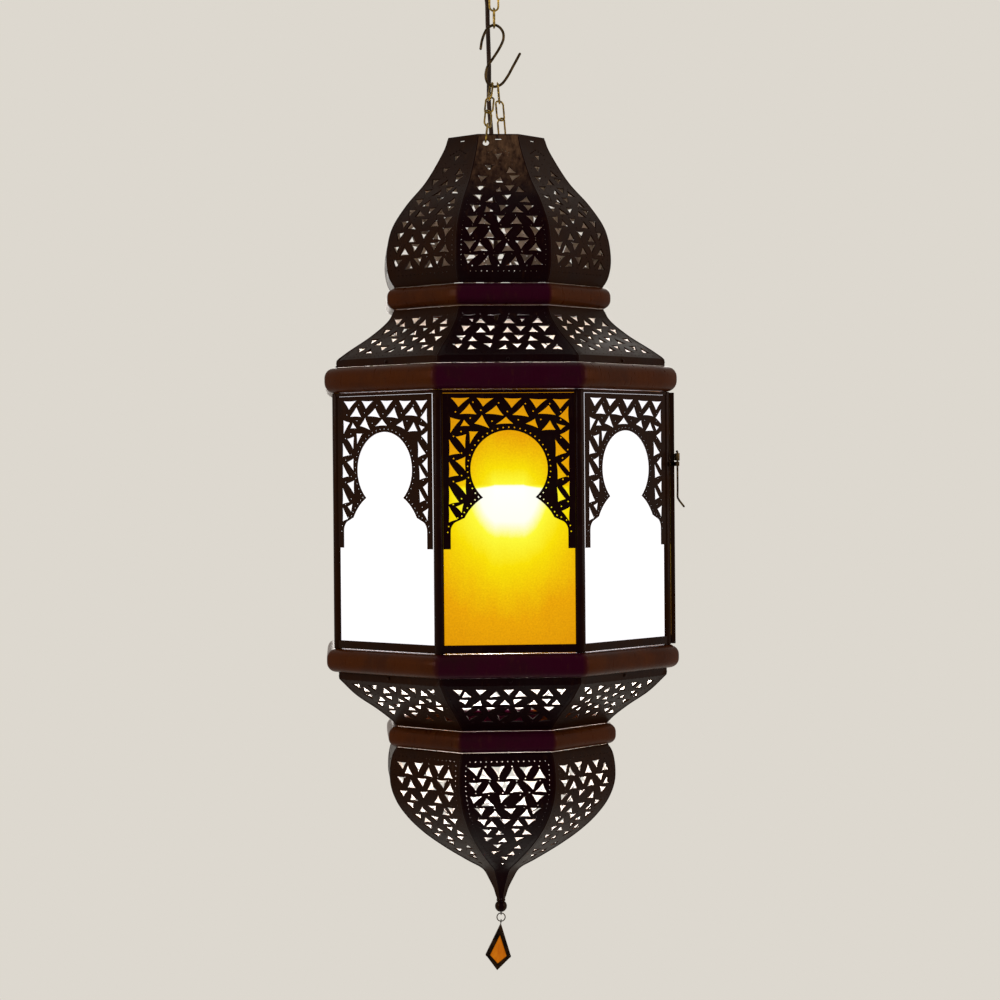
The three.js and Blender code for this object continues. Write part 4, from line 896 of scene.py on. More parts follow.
def tier(name, node, line, make_holes, own_holes=None, edges=(), outside=LACQUER, inside=INSIDE):
    """A tier of eight panels. own_holes maps a panel to holes that only it has, and edges are extra parts."""
    sheet = Sheet(line)
    parts = []
    plain = pierce(sheet.outline(), make_holes(sheet), sheet.inner_points())
    for k in range(8):
        cut = plain
        if own_holes and k in own_holes:
            cut = pierce(sheet.outline(), make_holes(sheet) + own_holes[k](sheet), sheet.inner_points())
        parts += shell_parts(sheet, cut, k, True)
    piece(name, parts, LANTERN, node, outside, 28, inside)
    piece(name + "_seams", seam_beads(line) + list(edges), LANTERN, None, LACQUER, 50)


def between(shares, radii, levels):
    """Points of (corner radius, z) at shares of the steps in radius and in height."""
    (r0, r1), (z0, z1) = radii, levels
    return [(r0 + (r1 - r0) * a, z0 + (z1 - z0) * b) for a, b in shares]


# Dome

NECK_CORNER, GORE_CORNER = 48.8, 113.0
STRAND_ASIDE, STRAND_DOWN, STRAND_HOLE = 11.7, 8.6, 3.0
DOME_LOW, DOME_TOP = heights("dome")
DOME_SHARES = [
    (0, 0), (0.045, 0.063), (0.14, 0.144), (0.375, 0.308), (0.695, 0.471), (0.925, 0.634), (1, 0.82),
    (0.96, 0.935), (0.88, 1),
]
DOME_LINE = smooth(between(DOME_SHARES, (NECK_CORNER, GORE_CORNER), (DOME_TOP, DOME_LOW)))


def dome_holes(sheet):
    """An ogival field that starts as a point below the neck, widens to the gore and ends above a plain foot.
    Its half width is 40 mm times the power 0.75 of the distance down in units of 58 mm, but at most 7 mm
    less than the panel's and at least 5 mm."""
    start, end = 19.0, sheet.long - 15

    def half_at(d):
        return max(5.0, min(float(sheet.half(d)) - 7.0, 40.0 * (max(0.0, d - start) / 58) ** 0.75))

    holes = stencil(half_at, start, end, 11)
    holes += [dot(x, end + 4.0, 0.6) for x in np.arange(-30, 31, 5.0)]
    holes += [dot(x, start - 4.5 + 0.5 * abs(x), 0.9) for x in (-9.6, -6.4, -3.2, 0.0, 3.2, 6.4, 9.6)]
    slot = np.array([(-2.7, 4.6), (2.7, 4.6), (3.1, 5.2), (2.7, 5.8), (-2.7, 5.8), (-3.1, 5.2)])
    return holes + [slot]


def strand_hole(sheet):
    """The round hole that a strand of chain passes through."""
    angle = turns(20)
    down = float(np.interp(STRAND_DOWN - DOME_TOP, -sheet.z, sheet.down))
    return [np.column_stack([STRAND_HOLE * np.cos(angle) - STRAND_ASIDE, down + STRAND_HOLE * np.sin(angle)])]


def octagon_line(radius, z):
    """The closed line round the corners of an octagon, in 6 mm steps."""
    angle = (np.arange(9) + 0.5) * math.pi / 4
    corners = np.column_stack([radius * np.sin(angle), -radius * np.cos(angle), np.full(9, z)])
    return spaced(corners, 6.0)[:-1]


NECK_WIRE = tube(octagon_line(NECK_CORNER - 0.6, DOME_TOP - 1.0), 0.9, 8, closed=True, steady=(0, 0, 1))
STRAND_HOLES = {0: strand_hole, 4: strand_hole}
tier("dome_pierced", "dome", DOME_LINE, dome_holes, STRAND_HOLES, [NECK_WIRE], NECK_SHEEN_LACQUER, DOME_INSIDE_SHADED)


# Flares

LIP_CORNER = 164.0
UPPER_FLARE_LOW, UPPER_FLARE_TOP = heights("upper_flare")
UPPER_FLARE_SHARES = [(0, 0), (0.09, 0.2), (0.39, 0.51), (0.79, 0.82), (0.97, 0.97)]
UPPER_FLARE_LINE = np.vstack([
    smooth(between(UPPER_FLARE_SHARES, (105.5, LIP_CORNER), (UPPER_FLARE_TOP, UPPER_FLARE_LOW + 5.8))),
    [(LIP_CORNER - 0.3, UPPER_FLARE_LOW + 5.6), (LIP_CORNER, UPPER_FLARE_LOW + 5.2)],
    [(LIP_CORNER, UPPER_FLARE_LOW)],
])
LOWER_FLARE_LOW, LOWER_FLARE_TOP = heights("lower_flare")
LOWER_FLARE_SHARES = [(0.985, 0.01), (0.71, 0.33), (0.35, 0.63), (0.09, 0.88), (0, 1)]
LOWER_FLARE_LINE = np.vstack([
    [(LIP_CORNER, LOWER_FLARE_TOP), (LIP_CORNER, LOWER_FLARE_TOP - 5.4)],
    smooth(between(LOWER_FLARE_SHARES, (106, LIP_CORNER), (LOWER_FLARE_TOP - 5.8, LOWER_FLARE_LOW))),
])


def flare_holes(sheet, start, end, dots_down, seed):
    """Rows of triangles from start to end, and one row of dots."""
    wide = float(sheet.half(dots_down)) - 7
    holes = stencil(lambda d: float(sheet.half(d)) - 6.8, start, end, seed, 11.6, 13.0)
    return holes + [dot(x, dots_down, 0.55) for x in np.arange(-wide, wide, 5.2)]


def upper_flare_holes(sheet):
    """Rows of triangles from the neck to the lip, and a row of dots above the lip."""
    end = sheet.long - 14
    return flare_holes(sheet, 8.0, end, end + 3.4, 17)


def lower_flare_holes(sheet):
    """Rows of triangles from the lip to the neck, and a row of dots below the lip."""
    start = 11.0
    return flare_holes(sheet, start, sheet.long - 11, start - 3.2, 23)


def lip_rivets(z):
    """A small domed rivet at the middle of each panel's lip."""
    rows = [(1.7, 0), (1.6, 0.5), (1.2, 0.9), (0.6, 1.15), (0.02, 1.2)]
    return [domed_rivet(k, 0.0, LIP_CORNER * FLAT - 0.2, z, rows) for k in range(8)]


tier(
    "upper_flare_pierced", "upper_flare", UPPER_FLARE_LINE, upper_flare_holes,
    edges=lip_rivets(UPPER_FLARE_LOW + 2.9),
)
tier(
    "lower_flare_pierced", "lower_flare", LOWER_FLARE_LINE, lower_flare_holes,
    edges=lip_rivets(LOWER_FLARE_TOP - 2.8),
)


# Bowl

BOWL_CORNER, BULGE_CORNER, SPIRE_CORNER, FOOT_CORNER = 107.0, 113.5, 18.4, 4.2
BOWL_HIGH = 120.5
BOWL_LOW, BOWL_TOP = heights("bowl")
SPIRE_TOP = BOWL_TOP - BOWL_HIGH
BULGE_Z = BOWL_TOP - 0.265 * BOWL_HIGH
BOWL_SHARES = [(0.937, 0.2), (0.815, 0.38), (0.647, 0.55), (0.427, 0.72), (0.17, 0.89), (0, 1)]
BOWL_LINE = smooth(
    between([(0, 0), (0.72, 0.28), (1, 1)], (BOWL_CORNER, BULGE_CORNER), (BOWL_TOP, BULGE_Z))
    + between(BOWL_SHARES, (SPIRE_CORNER, BULGE_CORNER), (BULGE_Z, SPIRE_TOP))
    + between([(0.57, 0.33), (0.22, 0.66), (0, 1)], (FOOT_CORNER, SPIRE_CORNER), (SPIRE_TOP, BOWL_LOW))
)


def bowl_holes(sheet):
    """A field that follows the gore down to a point above the spire."""
    start = 12.0
    end = float(np.interp(-(SPIRE_TOP + 4), -sheet.z, sheet.down))
    tip = end - 6
    holes = stencil(lambda d: max(2.0, float(sheet.half(d)) - 7.6), start, end - 12, 31, 11.6, 12.6)
    holes += [dot(x, start - 3.6, 0.6) for x in np.arange(-34, 35, 4.9)]
    return holes + [hollow_triangle([(-2.6, tip - 4), (2.6, tip - 4), (0, tip + 3)], 0.05)]


tier("bowl_pierced", "bowl", BOWL_LINE, bowl_holes)


# Half-round mouldings

def octagon_sweep(section, chamfer, dent=0.0, seed=0):
    """A closed section of (flat distance, z) carried round the octagon. Its places are along each side, two
    just short of the corner, by the chamfer, and one a little inside the corner. At each place it is pushed
    in by a random amount of up to dent."""
    stops = []
    for k in range(8):
        side, corner = k * math.pi / 4, (k + 0.5) * math.pi / 4
        stops.append((side, 1, 0, -1, chamfer))
        stops += [(side, 1, 0, share, 0) for share in (-0.66, -0.33, 0.0, 0.33, 0.66)]
        stops.append((side, 1, 0, 1, -chamfer))
        stops.append((corner, 1 / FLAT, -0.25 * chamfer, 0, 0))
    angle, factor, shift, across, aside = np.array(stops).T[:, :, None]
    section = np.asarray(section, float)
    flat = np.repeat(section[None, :, 0], len(stops), 0)
    if dent:
        rng = np.random.default_rng(seed)
        push = -rng.uniform(0, 1, (len(stops), 1)) * dent
        span = (section[:, 0] - section[:, 0].min()) / np.ptp(section[:, 0])
        flat = flat + push * span[None, :]
    out = flat * factor + shift
    sideways = across * flat * SLOPE + aside
    z = np.repeat(section[None, :, 1], len(stops), 0)
    x = out * np.sin(angle) + sideways * np.cos(angle)
    y = -out * np.cos(angle) + sideways * np.sin(angle)
    return grid_part(np.stack([x, y, z], -1), close_rows=True, close_columns=True)


def make_moulding(name, node, corner, seed):
    """Sheet rolled to a half round and open on its inner side: quarter circles joined by a short upright."""
    low, high = heights(node)
    face = corner * FLAT
    bend = 0.42 * (high - low)
    turn = turns(10, 0, math.pi / 2, closed=False)

    def arc(radius):
        upper = np.column_stack([face - bend + radius * np.sin(turn), high - bend + radius * np.cos(turn)])
        lower = np.column_stack([face - bend + radius * np.cos(turn), low + bend - radius * np.sin(turn)])
        return np.vstack([upper, lower])

    back = face - 14
    foot, top = [(back, low), (back, low + SHEET)], [(back, high - SHEET), (back, high)]
    section = np.vstack([arc(bend), foot, arc(bend - SHEET)[::-1], top])
    piece(name, [octagon_sweep(section, 1.6, 0.3, seed)], LANTERN, node, MOULDING, 38)


make_moulding("upper_small_moulding", "upper_small_ring", 112.7, 1)
make_moulding("upper_main_moulding", "upper_main_ring", 176.0, 2)
make_moulding("lower_main_moulding", "lower_main_ring", 176.0, 3)
make_moulding("lower_small_moulding", "lower_small_ring", 115.0, 4)


# Body

BODY_LOW, BODY_TOP = heights("body_frame")
POST_CENTRE = 163.5
SCREEN_FACE, SCREEN_BACK = 168 * FLAT - 0.6, 168 * FLAT - 1.8
DOOR_PANEL = 2
HINGE_SIDE, HINGE_OUT = 66.5, 160.5
HINGE_LEVELS = (BODY_TOP - 36.6, BODY_LOW + 36.6)
KNUCKLE_HIGH, KNUCKLE_GAP = 7.0, 0.3  # the gap is between the body's knuckle and the door's


def knuckle(low):
    """A rolled hinge knuckle with its bore, on the door's panel."""
    high = low + KNUCKLE_HIGH
    ring = [
        (1.45, low), (2.3, low), (2.6, low + 0.3), (2.6, high - 0.3), (2.3, high), (1.45, high), (1.45, low),
    ]
    return turned(ring, 24, HINGE_OUT, HINGE_SIDE)


def corner_bead(k):
    """The round bead at the corner after panel k."""
    angle = (k + 0.5) * math.pi / 4
    ends = [
        (0, BODY_LOW), (4.2, BODY_LOW), (4.5, BODY_LOW + 0.5), (4.5, BODY_LOW + 60), (4.42, BODY_LOW + 130),
        (4.5, BODY_TOP - 40), (4.5, BODY_TOP - 0.5), (4.2, BODY_TOP), (0, BODY_TOP),
    ]
    return turned(ends, 28, POST_CENTRE * math.sin(angle), -POST_CENTRE * math.cos(angle))


def make_body():
    """Eight beads at the corners, rails between them at top and bottom, and the body's half of the hinges."""
    parts = [corner_bead(k) for k in range(8)]
    for low, high in ((BODY_TOP - 3, BODY_TOP - 0.5), (BODY_LOW + 0.5, BODY_LOW + 7.8)):
        section = [(SCREEN_BACK, low), (SCREEN_FACE, low), (SCREEN_FACE, high), (SCREEN_BACK, high)]
        parts.append(octagon_sweep(section, 0.5))
    foot = KNUCKLE_HIGH + KNUCKLE_GAP
    for level in HINGE_LEVELS:
        across, out = (HINGE_SIDE - 1, HINGE_SIDE + 1), (152.6, 159.5)
        parts.append(knuckle(level - foot))
        parts.append(block(DOOR_PANEL, across, out, (level - foot + 0.1, level - 0.4), 0.3))
    piece("corner_beads_and_rails", parts, LANTERN, "body_frame", LACQUER, 40)
    for name, level in zip(("upper_hinge_pin", "lower_hinge_pin"), HINGE_LEVELS):
        low, high = level - foot, level + foot
        pin = [
            (0, low), (0.8, low), (1.1, low + 0.3), (1.1, high), (2.2, high), (2.5, high + 0.4),
            (2.1, high + 1.0), (0, high + 1.2),
        ]
        piece(name + "_turned", [turned(pin, 20, HINGE_OUT, HINGE_SIDE)], LANTERN, name, IRON)


make_body()


# Windows

# The triangles of one window's screen, as corners of (across, down from the screen's top)
WINDOW_TRIANGLES = np.array([
    ((-50.0, -4.3), (-35.8, -4.3), (-44.2, -11.4)), ((-27.3, -4.6), (-14.6, -4.9), (-22.5, -11.2)),
    ((-3.1, -4.9), (10.3, -5.1), (2.7, -12.5)), ((19.5, -5.6), (32.7, -6.0), (24.5, -13.0)),
    ((39.9, -6.0), (52.6, -6.0), (45.6, -13.6)), ((-34.7, -10.1), (-42.1, -18.0), (-29.5, -18.3)),
    ((-11.0, -11.7), (-19.7, -18.0), (-5.5, -19.6)), ((12.7, -11.7), (4.3, -19.1), (16.9, -20.7)),
    ((35.3, -11.7), (26.9, -18.3), (40.6, -19.3)), ((52.6, -12.9), (45.2, -20.8), (52.9, -25.9)),
    ((-51.3, -21.9), (-43.7, -24.0), (-51.3, -33.8)), ((-39.4, -24.0), (-42.1, -28.7), (-35.2, -28.7)),
    ((-23.6, -20.1), (-29.5, -26.7), (-18.1, -30.3)), ((-2.6, -21.6), (-10.2, -27.3), (2.9, -26.9)),
    ((22.9, -23.5), (15.8, -27.2), (25.3, -30.6)), ((36.4, -25.2), (30.0, -32.8), (40.6, -32.5)),
    ((42.7, -27.5), (49.5, -29.4), (45.8, -32.5)), ((53.0, -33.5), (46.0, -37.3), (53.0, -44.1)),
    ((-34.6, -34.1), (-27.9, -34.3), (-34.2, -43.6)), ((-52.5, -41.7), (-52.4, -54.0), (-44.2, -52.7)),
    ((-46.1, -38.8), (-38.3, -36.9), (-39.0, -47.7)), ((41.4, -42.5), (41.6, -55.6), (50.1, -52.7)),
    ((-52.8, -61.4), (-52.8, -73.3), (-45.3, -72.0)), ((-46.5, -59.8), (-39.0, -56.7), (-39.0, -67.3)),
    ((-53.0, -82.7), (-53.0, -97.0), (-45.3, -95.4)), ((-46.5, -79.3), (-38.6, -76.7), (-38.6, -88.3)),
    ((-53.2, -100.5), (-53.2, -113.0), (-46.7, -110.8)), ((-46.7, -100.1), (-40.9, -97.7), (-42.3, -104.8)),
    ((53.1, -56.7), (46.7, -61.9), (53.1, -69.3)), ((42.5, -63.0), (43.3, -75.6), (50.4, -73.6)),
    ((53.2, -78.8), (47.5, -82.7), (53.1, -90.6)), ((42.4, -84.0), (43.3, -95.7), (49.2, -93.6)),
    ((53.2, -101.7), (47.0, -104.8), (52.6, -112.5)),
])
STRAP_DOTS = [
    (-31.5, -8.0), (-8.8, -8.8), (14.8, -9.6), (36.4, -9.8), (-47.0, -16.5), (-24.6, -15.2), (-1.2, -16.4),
    (21.6, -16.2), (46.2, -17.0), (-34.0, -22.0), (-14.8, -24.8), (8.4, -23.8), (28.4, -23.6), (46.0, -24.0),
    (-48.9, -38.0), (-42.2, -33.8), (-49.0, -57.6), (-42.0, -52.8), (-49.3, -77.8), (-42.0, -72.6),
    (-42.2, -93.0), (-49.6, -98.0), (46.0, -39.8), (47.4, -57.8), (47.6, -76.6), (46.0, -100.4),
    (52.0, -50.4), (52.2, -74.0), (52.0, -96.2),
]
SCREEN_HALF, SCREEN_FOOT = 58.44, -137.5
SCREEN_TOP = heights("front_screen")[1]
HEAD_Z, HEAD_RADIUS, LOBE_RADIUS = -67.0, 34.2, 44.5
CUSP_HALF, SHOULDER_HALF = 23.2, 39.7


def circle_part(radius, middle, turn):
    """Points on a circle about (0, middle)."""
    return np.column_stack([radius * np.cos(turn), middle + radius * np.sin(turn)])


def arch_line():
    """The keyhole arch from its right foot round to its left foot: an upright, a lobe, a round head, and
    back. The head and the lobes are parts of two circles, which meet where the arch is CUSP_HALF from the
    middle. Points are (across, down from the screen's top)."""
    cusp = HEAD_Z - math.sqrt(HEAD_RADIUS**2 - CUSP_HALF**2)
    lobe = cusp - math.sqrt(LOBE_RADIUS**2 - CUSP_HALF**2)
    shoulder = lobe + math.sqrt(LOBE_RADIUS**2 - SHOULDER_HALF**2)
    lobe_start, lobe_end = math.atan2(shoulder - lobe, SHOULDER_HALF), math.atan2(cusp - lobe, CUSP_HALF)
    head_start = math.atan2(cusp - HEAD_Z, CUSP_HALF)
    curl = [(52, -122.9), (51.6, -119.0), (49.0, -114.6), (44.5, -112.2), (39.9, shoulder)]
    lobe_part = circle_part(LOBE_RADIUS, lobe, np.linspace(lobe_start, lobe_end, 14))
    right = np.vstack([[(52, SCREEN_FOOT)], smooth(curl, 4)[:-1], lobe_part])
    head = circle_part(HEAD_RADIUS, HEAD_Z, np.linspace(head_start, math.pi - head_start, 44)[1:-1])
    return np.vstack([right, head, right[::-1] * [-1, 1]])


def arch_dots(arch):
    """A line of dots 2.6 mm outside the arch, where they are clear of the triangles and of the arch."""
    ahead = spaced(arch[1:-1], 4.7)
    tangent = np.gradient(ahead, axis=0)
    normal = np.column_stack([tangent[:, 1], -tangent[:, 0]]) / np.linalg.norm(tangent, axis=1, keepdims=True)
    ring = ahead + normal * 2.6
    from_triangles = np.linalg.norm(ring[:, None] - WINDOW_TRIANGLES.mean(1)[None], axis=2).min(1)
    from_arch = np.array([np.linalg.norm(ahead - spot, axis=1).min() for spot in ring])
    return ring[(from_triangles > 5.2) & (np.abs(ring[:, 0]) < 55) & (from_arch > 2.2)]


def screen_pierced(top):
    """The window's sheet: its outline with the arch, the triangles, and the dots by the arch and between."""
    arch = arch_line()
    sides = [(SCREEN_HALF, SCREEN_FOOT), (SCREEN_HALF, 0), (-SCREEN_HALF, 0), (-SCREEN_HALF, SCREEN_FOOT)]
    outline = np.vstack([arch[::-1], sides])
    holes = []
    for corners in WINDOW_TRIANGLES:
        middle = corners.mean(0)
        holes.append(hollow_triangle(middle + (corners - middle) * 1.15, 0.03))
    holes += [dot(x, y, 0.64) for x, y in arch_dots(arch)]
    holes += [dot(x, y, 0.66) for x, y in STRAP_DOTS]
    extra = np.array([(x, y) for y in np.arange(-130, -2, 7.5) for x in np.arange(-54, 55, 7.5)])
    points, triangles, rim = pierce(outline, holes, extra)
    return points + [0, top], triangles, rim


def make_windows():
    """Seven windows alike: the pierced screen, and the pane behind it, amber and frosted in turn."""
    cut = screen_pierced(SCREEN_TOP)
    compass = ["front", "front_right", "right", "back_right", "back", "back_left", "left", "front_left"]
    for k, side in enumerate(compass):
        if k == DOOR_PANEL:
            continue
        parts = shell_parts(FlatSheet(SCREEN_FACE, 0.7), cut, k, False)
        piece(side + "_screen_pierced", parts, LANTERN, side + "_screen", LACQUER, 30, INSIDE)
        pane = block(k, (-58.05, 58.05), (150.35, 153.05), (BODY_LOW + 0.1, BODY_TOP - 0.4), 0.5)
        piece(side + "_pane_cut", [pane], LANTERN, side + "_pane", FROSTED if k % 2 else AMBER, 20)


make_windows()


# Door and latch

DOOR_LOW, DOOR_TOP = heights("door_frame")
DOOR_BACK, DOOR_FACE = 156.0, 160.0
DOOR_HALF, RAIL_WIDE = 63.0, 8.0
DOOR_SCREEN_FACE = 155.7
LATCH_SIDE, LATCH_OUT = -66.0, 162.3
PIN_RADIUS, PIN_DROP = 0.95, 43.0


def rounded_strip(width, back, face, edge=0.7):
    """The section of a door rail as (inset, out): a flat strip whose face has rounded edges."""
    turn = turns(5, 0, math.pi / 2, closed=False)
    left = np.column_stack([edge - edge * np.cos(turn), face - edge + edge * np.sin(turn)])
    right = np.column_stack([width - edge + edge * np.sin(turn), face - edge + edge * np.cos(turn)])
    return np.vstack([[(0, back)], left, right, [(width, back)]])


def frame_sweep(k, half, low, high, section):
    """A section of (inset, out) carried round a rectangle with mitred corners on panel k."""
    inset, out = section[:, 0], section[:, 1]
    rows = []
    for way, z in ((-1, low + inset), (1, low + inset), (1, high - inset), (-1, high - inset)):
        rows.append(on_panel(k, way * (half - inset), out, z))
    return grid_part(np.array(rows), close_rows=True, close_columns=True)


def make_door():
    """The door: a mitred frame with its half of the hinges, and a screen and a pane held behind it."""
    strip = rounded_strip(RAIL_WIDE, DOOR_BACK, DOOR_FACE)
    parts = [frame_sweep(DOOR_PANEL, DOOR_HALF, DOOR_LOW, DOOR_TOP, strip)]
    rivet = [(1.3, 0), (1.25, 0.4), (0.9, 0.75), (0.4, 0.9), (0.02, 0.93)]
    for level in HINGE_LEVELS:
        leaf = (level + 0.1, level + KNUCKLE_HIGH - 0.1)
        parts.append(knuckle(level))
        parts.append(block(DOOR_PANEL, (61.5, 66.2), (158.1, 159.9), leaf, 0.3))
        for shift in (-5.4, 5.4):
            z = level + KNUCKLE_HIGH / 2 + shift
            parts.append(domed_rivet(DOOR_PANEL, 58.8, DOOR_FACE - 0.3, z, rivet))
    piece("door_frame_mitred", parts, "door", "door_frame", LACQUER, 35)
    cut = screen_pierced(heights("door_screen")[1])
    screen = shell_parts(FlatSheet(DOOR_SCREEN_FACE, 0.8), cut, DOOR_PANEL, False)
    piece("door_screen_pierced", screen, "door", "door_screen", LACQUER, 30, INSIDE)
    pane = block(DOOR_PANEL, (-57.7, 57.7), (151.85, 154.55), heights("door_pane"), 0.5)
    piece("door_pane_cut", [pane], "door", "door_pane", AMBER, 20)


def make_staple():
    """A rolled staple on the door, which the drop pin runs in."""
    low, high = heights("latch_staple")
    barrel = [
        (1.35, low), (1.95, low), (2.15, low + 0.3), (2.15, high - 0.3), (1.95, high), (1.35, high),
        (1.35, low),
    ]
    strap = block(DOOR_PANEL, (-65.0, -57.1), (160.4, 161.5), (low + 0.3, high - 0.3), 0.3)
    parts = [turned(barrel, 20, LATCH_OUT, LATCH_SIDE), strap]
    piece("latch_staple_rolled", parts, "door", "latch_staple", IRON, 35)


def make_keeper():
    """A bent keeper on the corner bead: two cheeks beside the drop pin, and the web behind them."""
    z = heights("latch_keeper")
    parts = [
        block(DOOR_PANEL, (-68.9, -67.5), (155.8, 163.7), z, 0.25),
        block(DOOR_PANEL, (-64.5, -63.8), (155.8, 163.7), z, 0.2),
        block(DOOR_PANEL, (-68.9, -63.8), (155.8, 160.6), z, 0.25),
    ]
    piece("latch_keeper_bent", parts, LANTERN, "latch_keeper", IRON, 35)


def make_drop_pin():
    """The drop pin: a wire with its head bent over the staple and its foot bent towards the outside."""
    head = heights("latch_staple")[1] + 0.3 + PIN_RADIUS
    kink = head - PIN_DROP
    route = [
        (5, 0, head + 0.4), (2, 0, head + 0.4), (0.4, 0, head), (0, 0, head - 1.6), (0, 0, head - 6),
        (0, 0, kink + 8), (0, 0, kink + 1), (0, 0.8, kink - 1), (0, 5.7, kink - 7.6),
    ]
    line = spaced(smooth(route, 10), 0.9)
    path = on_panel(DOOR_PANEL, LATCH_SIDE + line[:, 0], LATCH_OUT + line[:, 1], line[:, 2])
    wire = tube(path, PIN_RADIUS, 12, steady=(0.3, 0.9, 0.1))
    piece("latch_pin_bent", [wire], "drop_pin", "latch_pin", IRON, 50)


make_door()
make_staple()
make_keeper()
make_drop_pin()


# Lamp

GLOBE_TURN = 0.62 * math.pi  # how far round the section of the bulb's globe goes from its foot


def make_holder():
    """The cord grip, and the lamp holder with its ribs."""
    low, high = heights("cord_grip")
    cone = smooth([(7, low), (6.8, low + 1.2), (5.4, low + 5), (4.2, high - 2), (3.85, high)], 4)
    grip = np.vstack([[(0, low)], cone, [(0, high)]])
    piece("cord_grip_moulded", [turned(grip, 32)], LANTERN, "cord_grip", BLACK)
    low, high = heights("lamp_holder")
    mouth = [(0, low + 30), (14.4, low + 30), (14.4, low + 0.2), (19.6, low), (20, low + 0.5)]
    ribs = [(20 - 0.5 * (i % 2), low + 6 + 1.5 * i) for i in range(15)]
    shoulder = [
        (20, low + 30), (19.6, low + 33.4), (16, low + 43), (12.4, high - 4), (10.6, high - 1), (10, high),
        (0, high),
    ]
    piece("lamp_holder_moulded", [turned(mouth + ribs + shoulder, 56)], LANTERN, "lamp_holder", BLACK, 25)


def make_bulb():
    """A bulb that hangs from the holder: its housing with the thread, and below it the frosted globe, which
    is part of a ball stretched to the height of its solid."""
    low, high = heights("bulb_base")
    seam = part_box("bulb_base")[1].x / MM
    body = smooth([
        (seam, low), (seam * 0.98, low + 3), (seam * 0.86, low + 14), (seam * 0.72, low + 25),
        (15.4, low + 38), (13.4, low + 45),
    ], 4)
    thread = [(13.2 - 0.7 * (i % 2), low + 46 + 1.7 * i) for i in range(13)]
    contact = [(12.4, high - 3.6), (7.5, high - 1), (5, high), (0, high)]
    housing = np.vstack([[(0, low)], body, thread, contact])
    piece("bulb_housing_moulded", [turned(housing, 48)], LANTERN, "bulb_base", HOUSING, 30)
    low, high = heights("bulb_diffuser")
    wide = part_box("bulb_diffuser")[1].x / MM
    turn = turns(22, 0, GLOBE_TURN, closed=False)
    rise = (1 - np.cos(turn)) / (1 - math.cos(GLOBE_TURN))
    ball = np.column_stack([wide * np.sin(turn), low + rise * (high - low)])
    globe = np.vstack([ball, [(0, high)]])
    piece("bulb_diffuser_frosted", [turned(globe, 48)], LANTERN, "bulb_diffuser", BULB, 40)


make_holder()
make_bulb()


# Finial and pendant

EYE_RADIUS, EYE_WIRE = 1.75, 0.9
BALL_RADIUS, BALL_CUT = 5.7, 0.75  # the ball is cut off flat at this share of its radius
RING_RADIUS, RING_WIRE = 3.9, 1.0
PIVOT_UP = 2.15  # from the foot of the pendant's ring
KITE_HIGH, KITE_HALF = 44.8, 12.15
KITE_WIDEST = 0.69 * KITE_HIGH
KITE_LEAN = math.radians(5)
CAME_WIDE = 4.2


def eye(z):
    """A wire eye in the YZ plane."""
    turn = turns(32)
    path = np.column_stack([0 * turn, EYE_RADIUS * np.cos(turn), z + EYE_RADIUS * np.sin(turn)])
    return tube(path, EYE_WIRE / 2, 12, closed=True, steady=(1, 0, 0))


def make_finial():
    """A flange, a ball with an eye, and the ring that hangs in it."""
    low, high = heights("finial_flange")
    flange = [
        (0, low), (3.6, low), (4.1, low + 0.4), (4.3, low + 1.2), (4.1, high - 0.4), (3.6, high), (0, high),
    ]
    piece("finial_flange_turned", [turned(flange, 32)], LANTERN, "finial_flange", LACQUER)
    low, high = heights("finial_ball")
    turn = turns(20, -math.pi / 2, math.asin(BALL_CUT), closed=False)
    middle = high - BALL_CUT * BALL_RADIUS
    ball = np.vstack([circle_part(BALL_RADIUS, middle, turn), [(0, high)]])
    piece("finial_ball_turned", [turned(ball, 32), eye(low + 2.25)], LANTERN, "finial_ball", LACQUER, 45)
    low, high = heights("pendant_ring")
    round_x, round_z = circle_part(RING_RADIUS, (low + high) / 2, turns(44)).T
    path = np.column_stack([round_x, 0 * round_x, round_z])
    wire = tube(path, RING_WIRE / 2, 12, closed=True)
    piece("pendant_ring_wire", [wire], "ring", "pendant_ring", IRON, 60)


def leaned(part, pivot):
    """A part turned about the Y line through the pivot, so that the kite's foot goes to the left."""
    points, faces = part
    c, s = math.cos(KITE_LEAN), math.sin(KITE_LEAN)
    x, z = points[:, 0], points[:, 2] - pivot
    return np.column_stack([x * c + z * s, points[:, 1], pivot - x * s + z * c]), faces


def kite_corners(top, inset, y):
    """The kite's four corners at a depth y, with each side moved in by inset. Its top and its foot move by
    the inset over the sine of half their angle, and the other two by the inset over the cosine of half the
    difference of those half angles. inset and y are numbers, or arrays with one for each line."""
    upper, lower = math.atan2(KITE_HALF, KITE_WIDEST), math.atan2(KITE_HALF, KITE_HIGH - KITE_WIDEST)
    half = KITE_HALF - inset / math.cos((upper - lower) / 2)
    side = top - KITE_WIDEST + 0 * inset
    x = np.stack([0 * inset, -half, 0 * inset, half])
    z = np.stack([top - inset / math.sin(upper), side, top - KITE_HIGH + inset / math.sin(lower), side])
    return np.stack([x, y + 0 * x, z], -1)


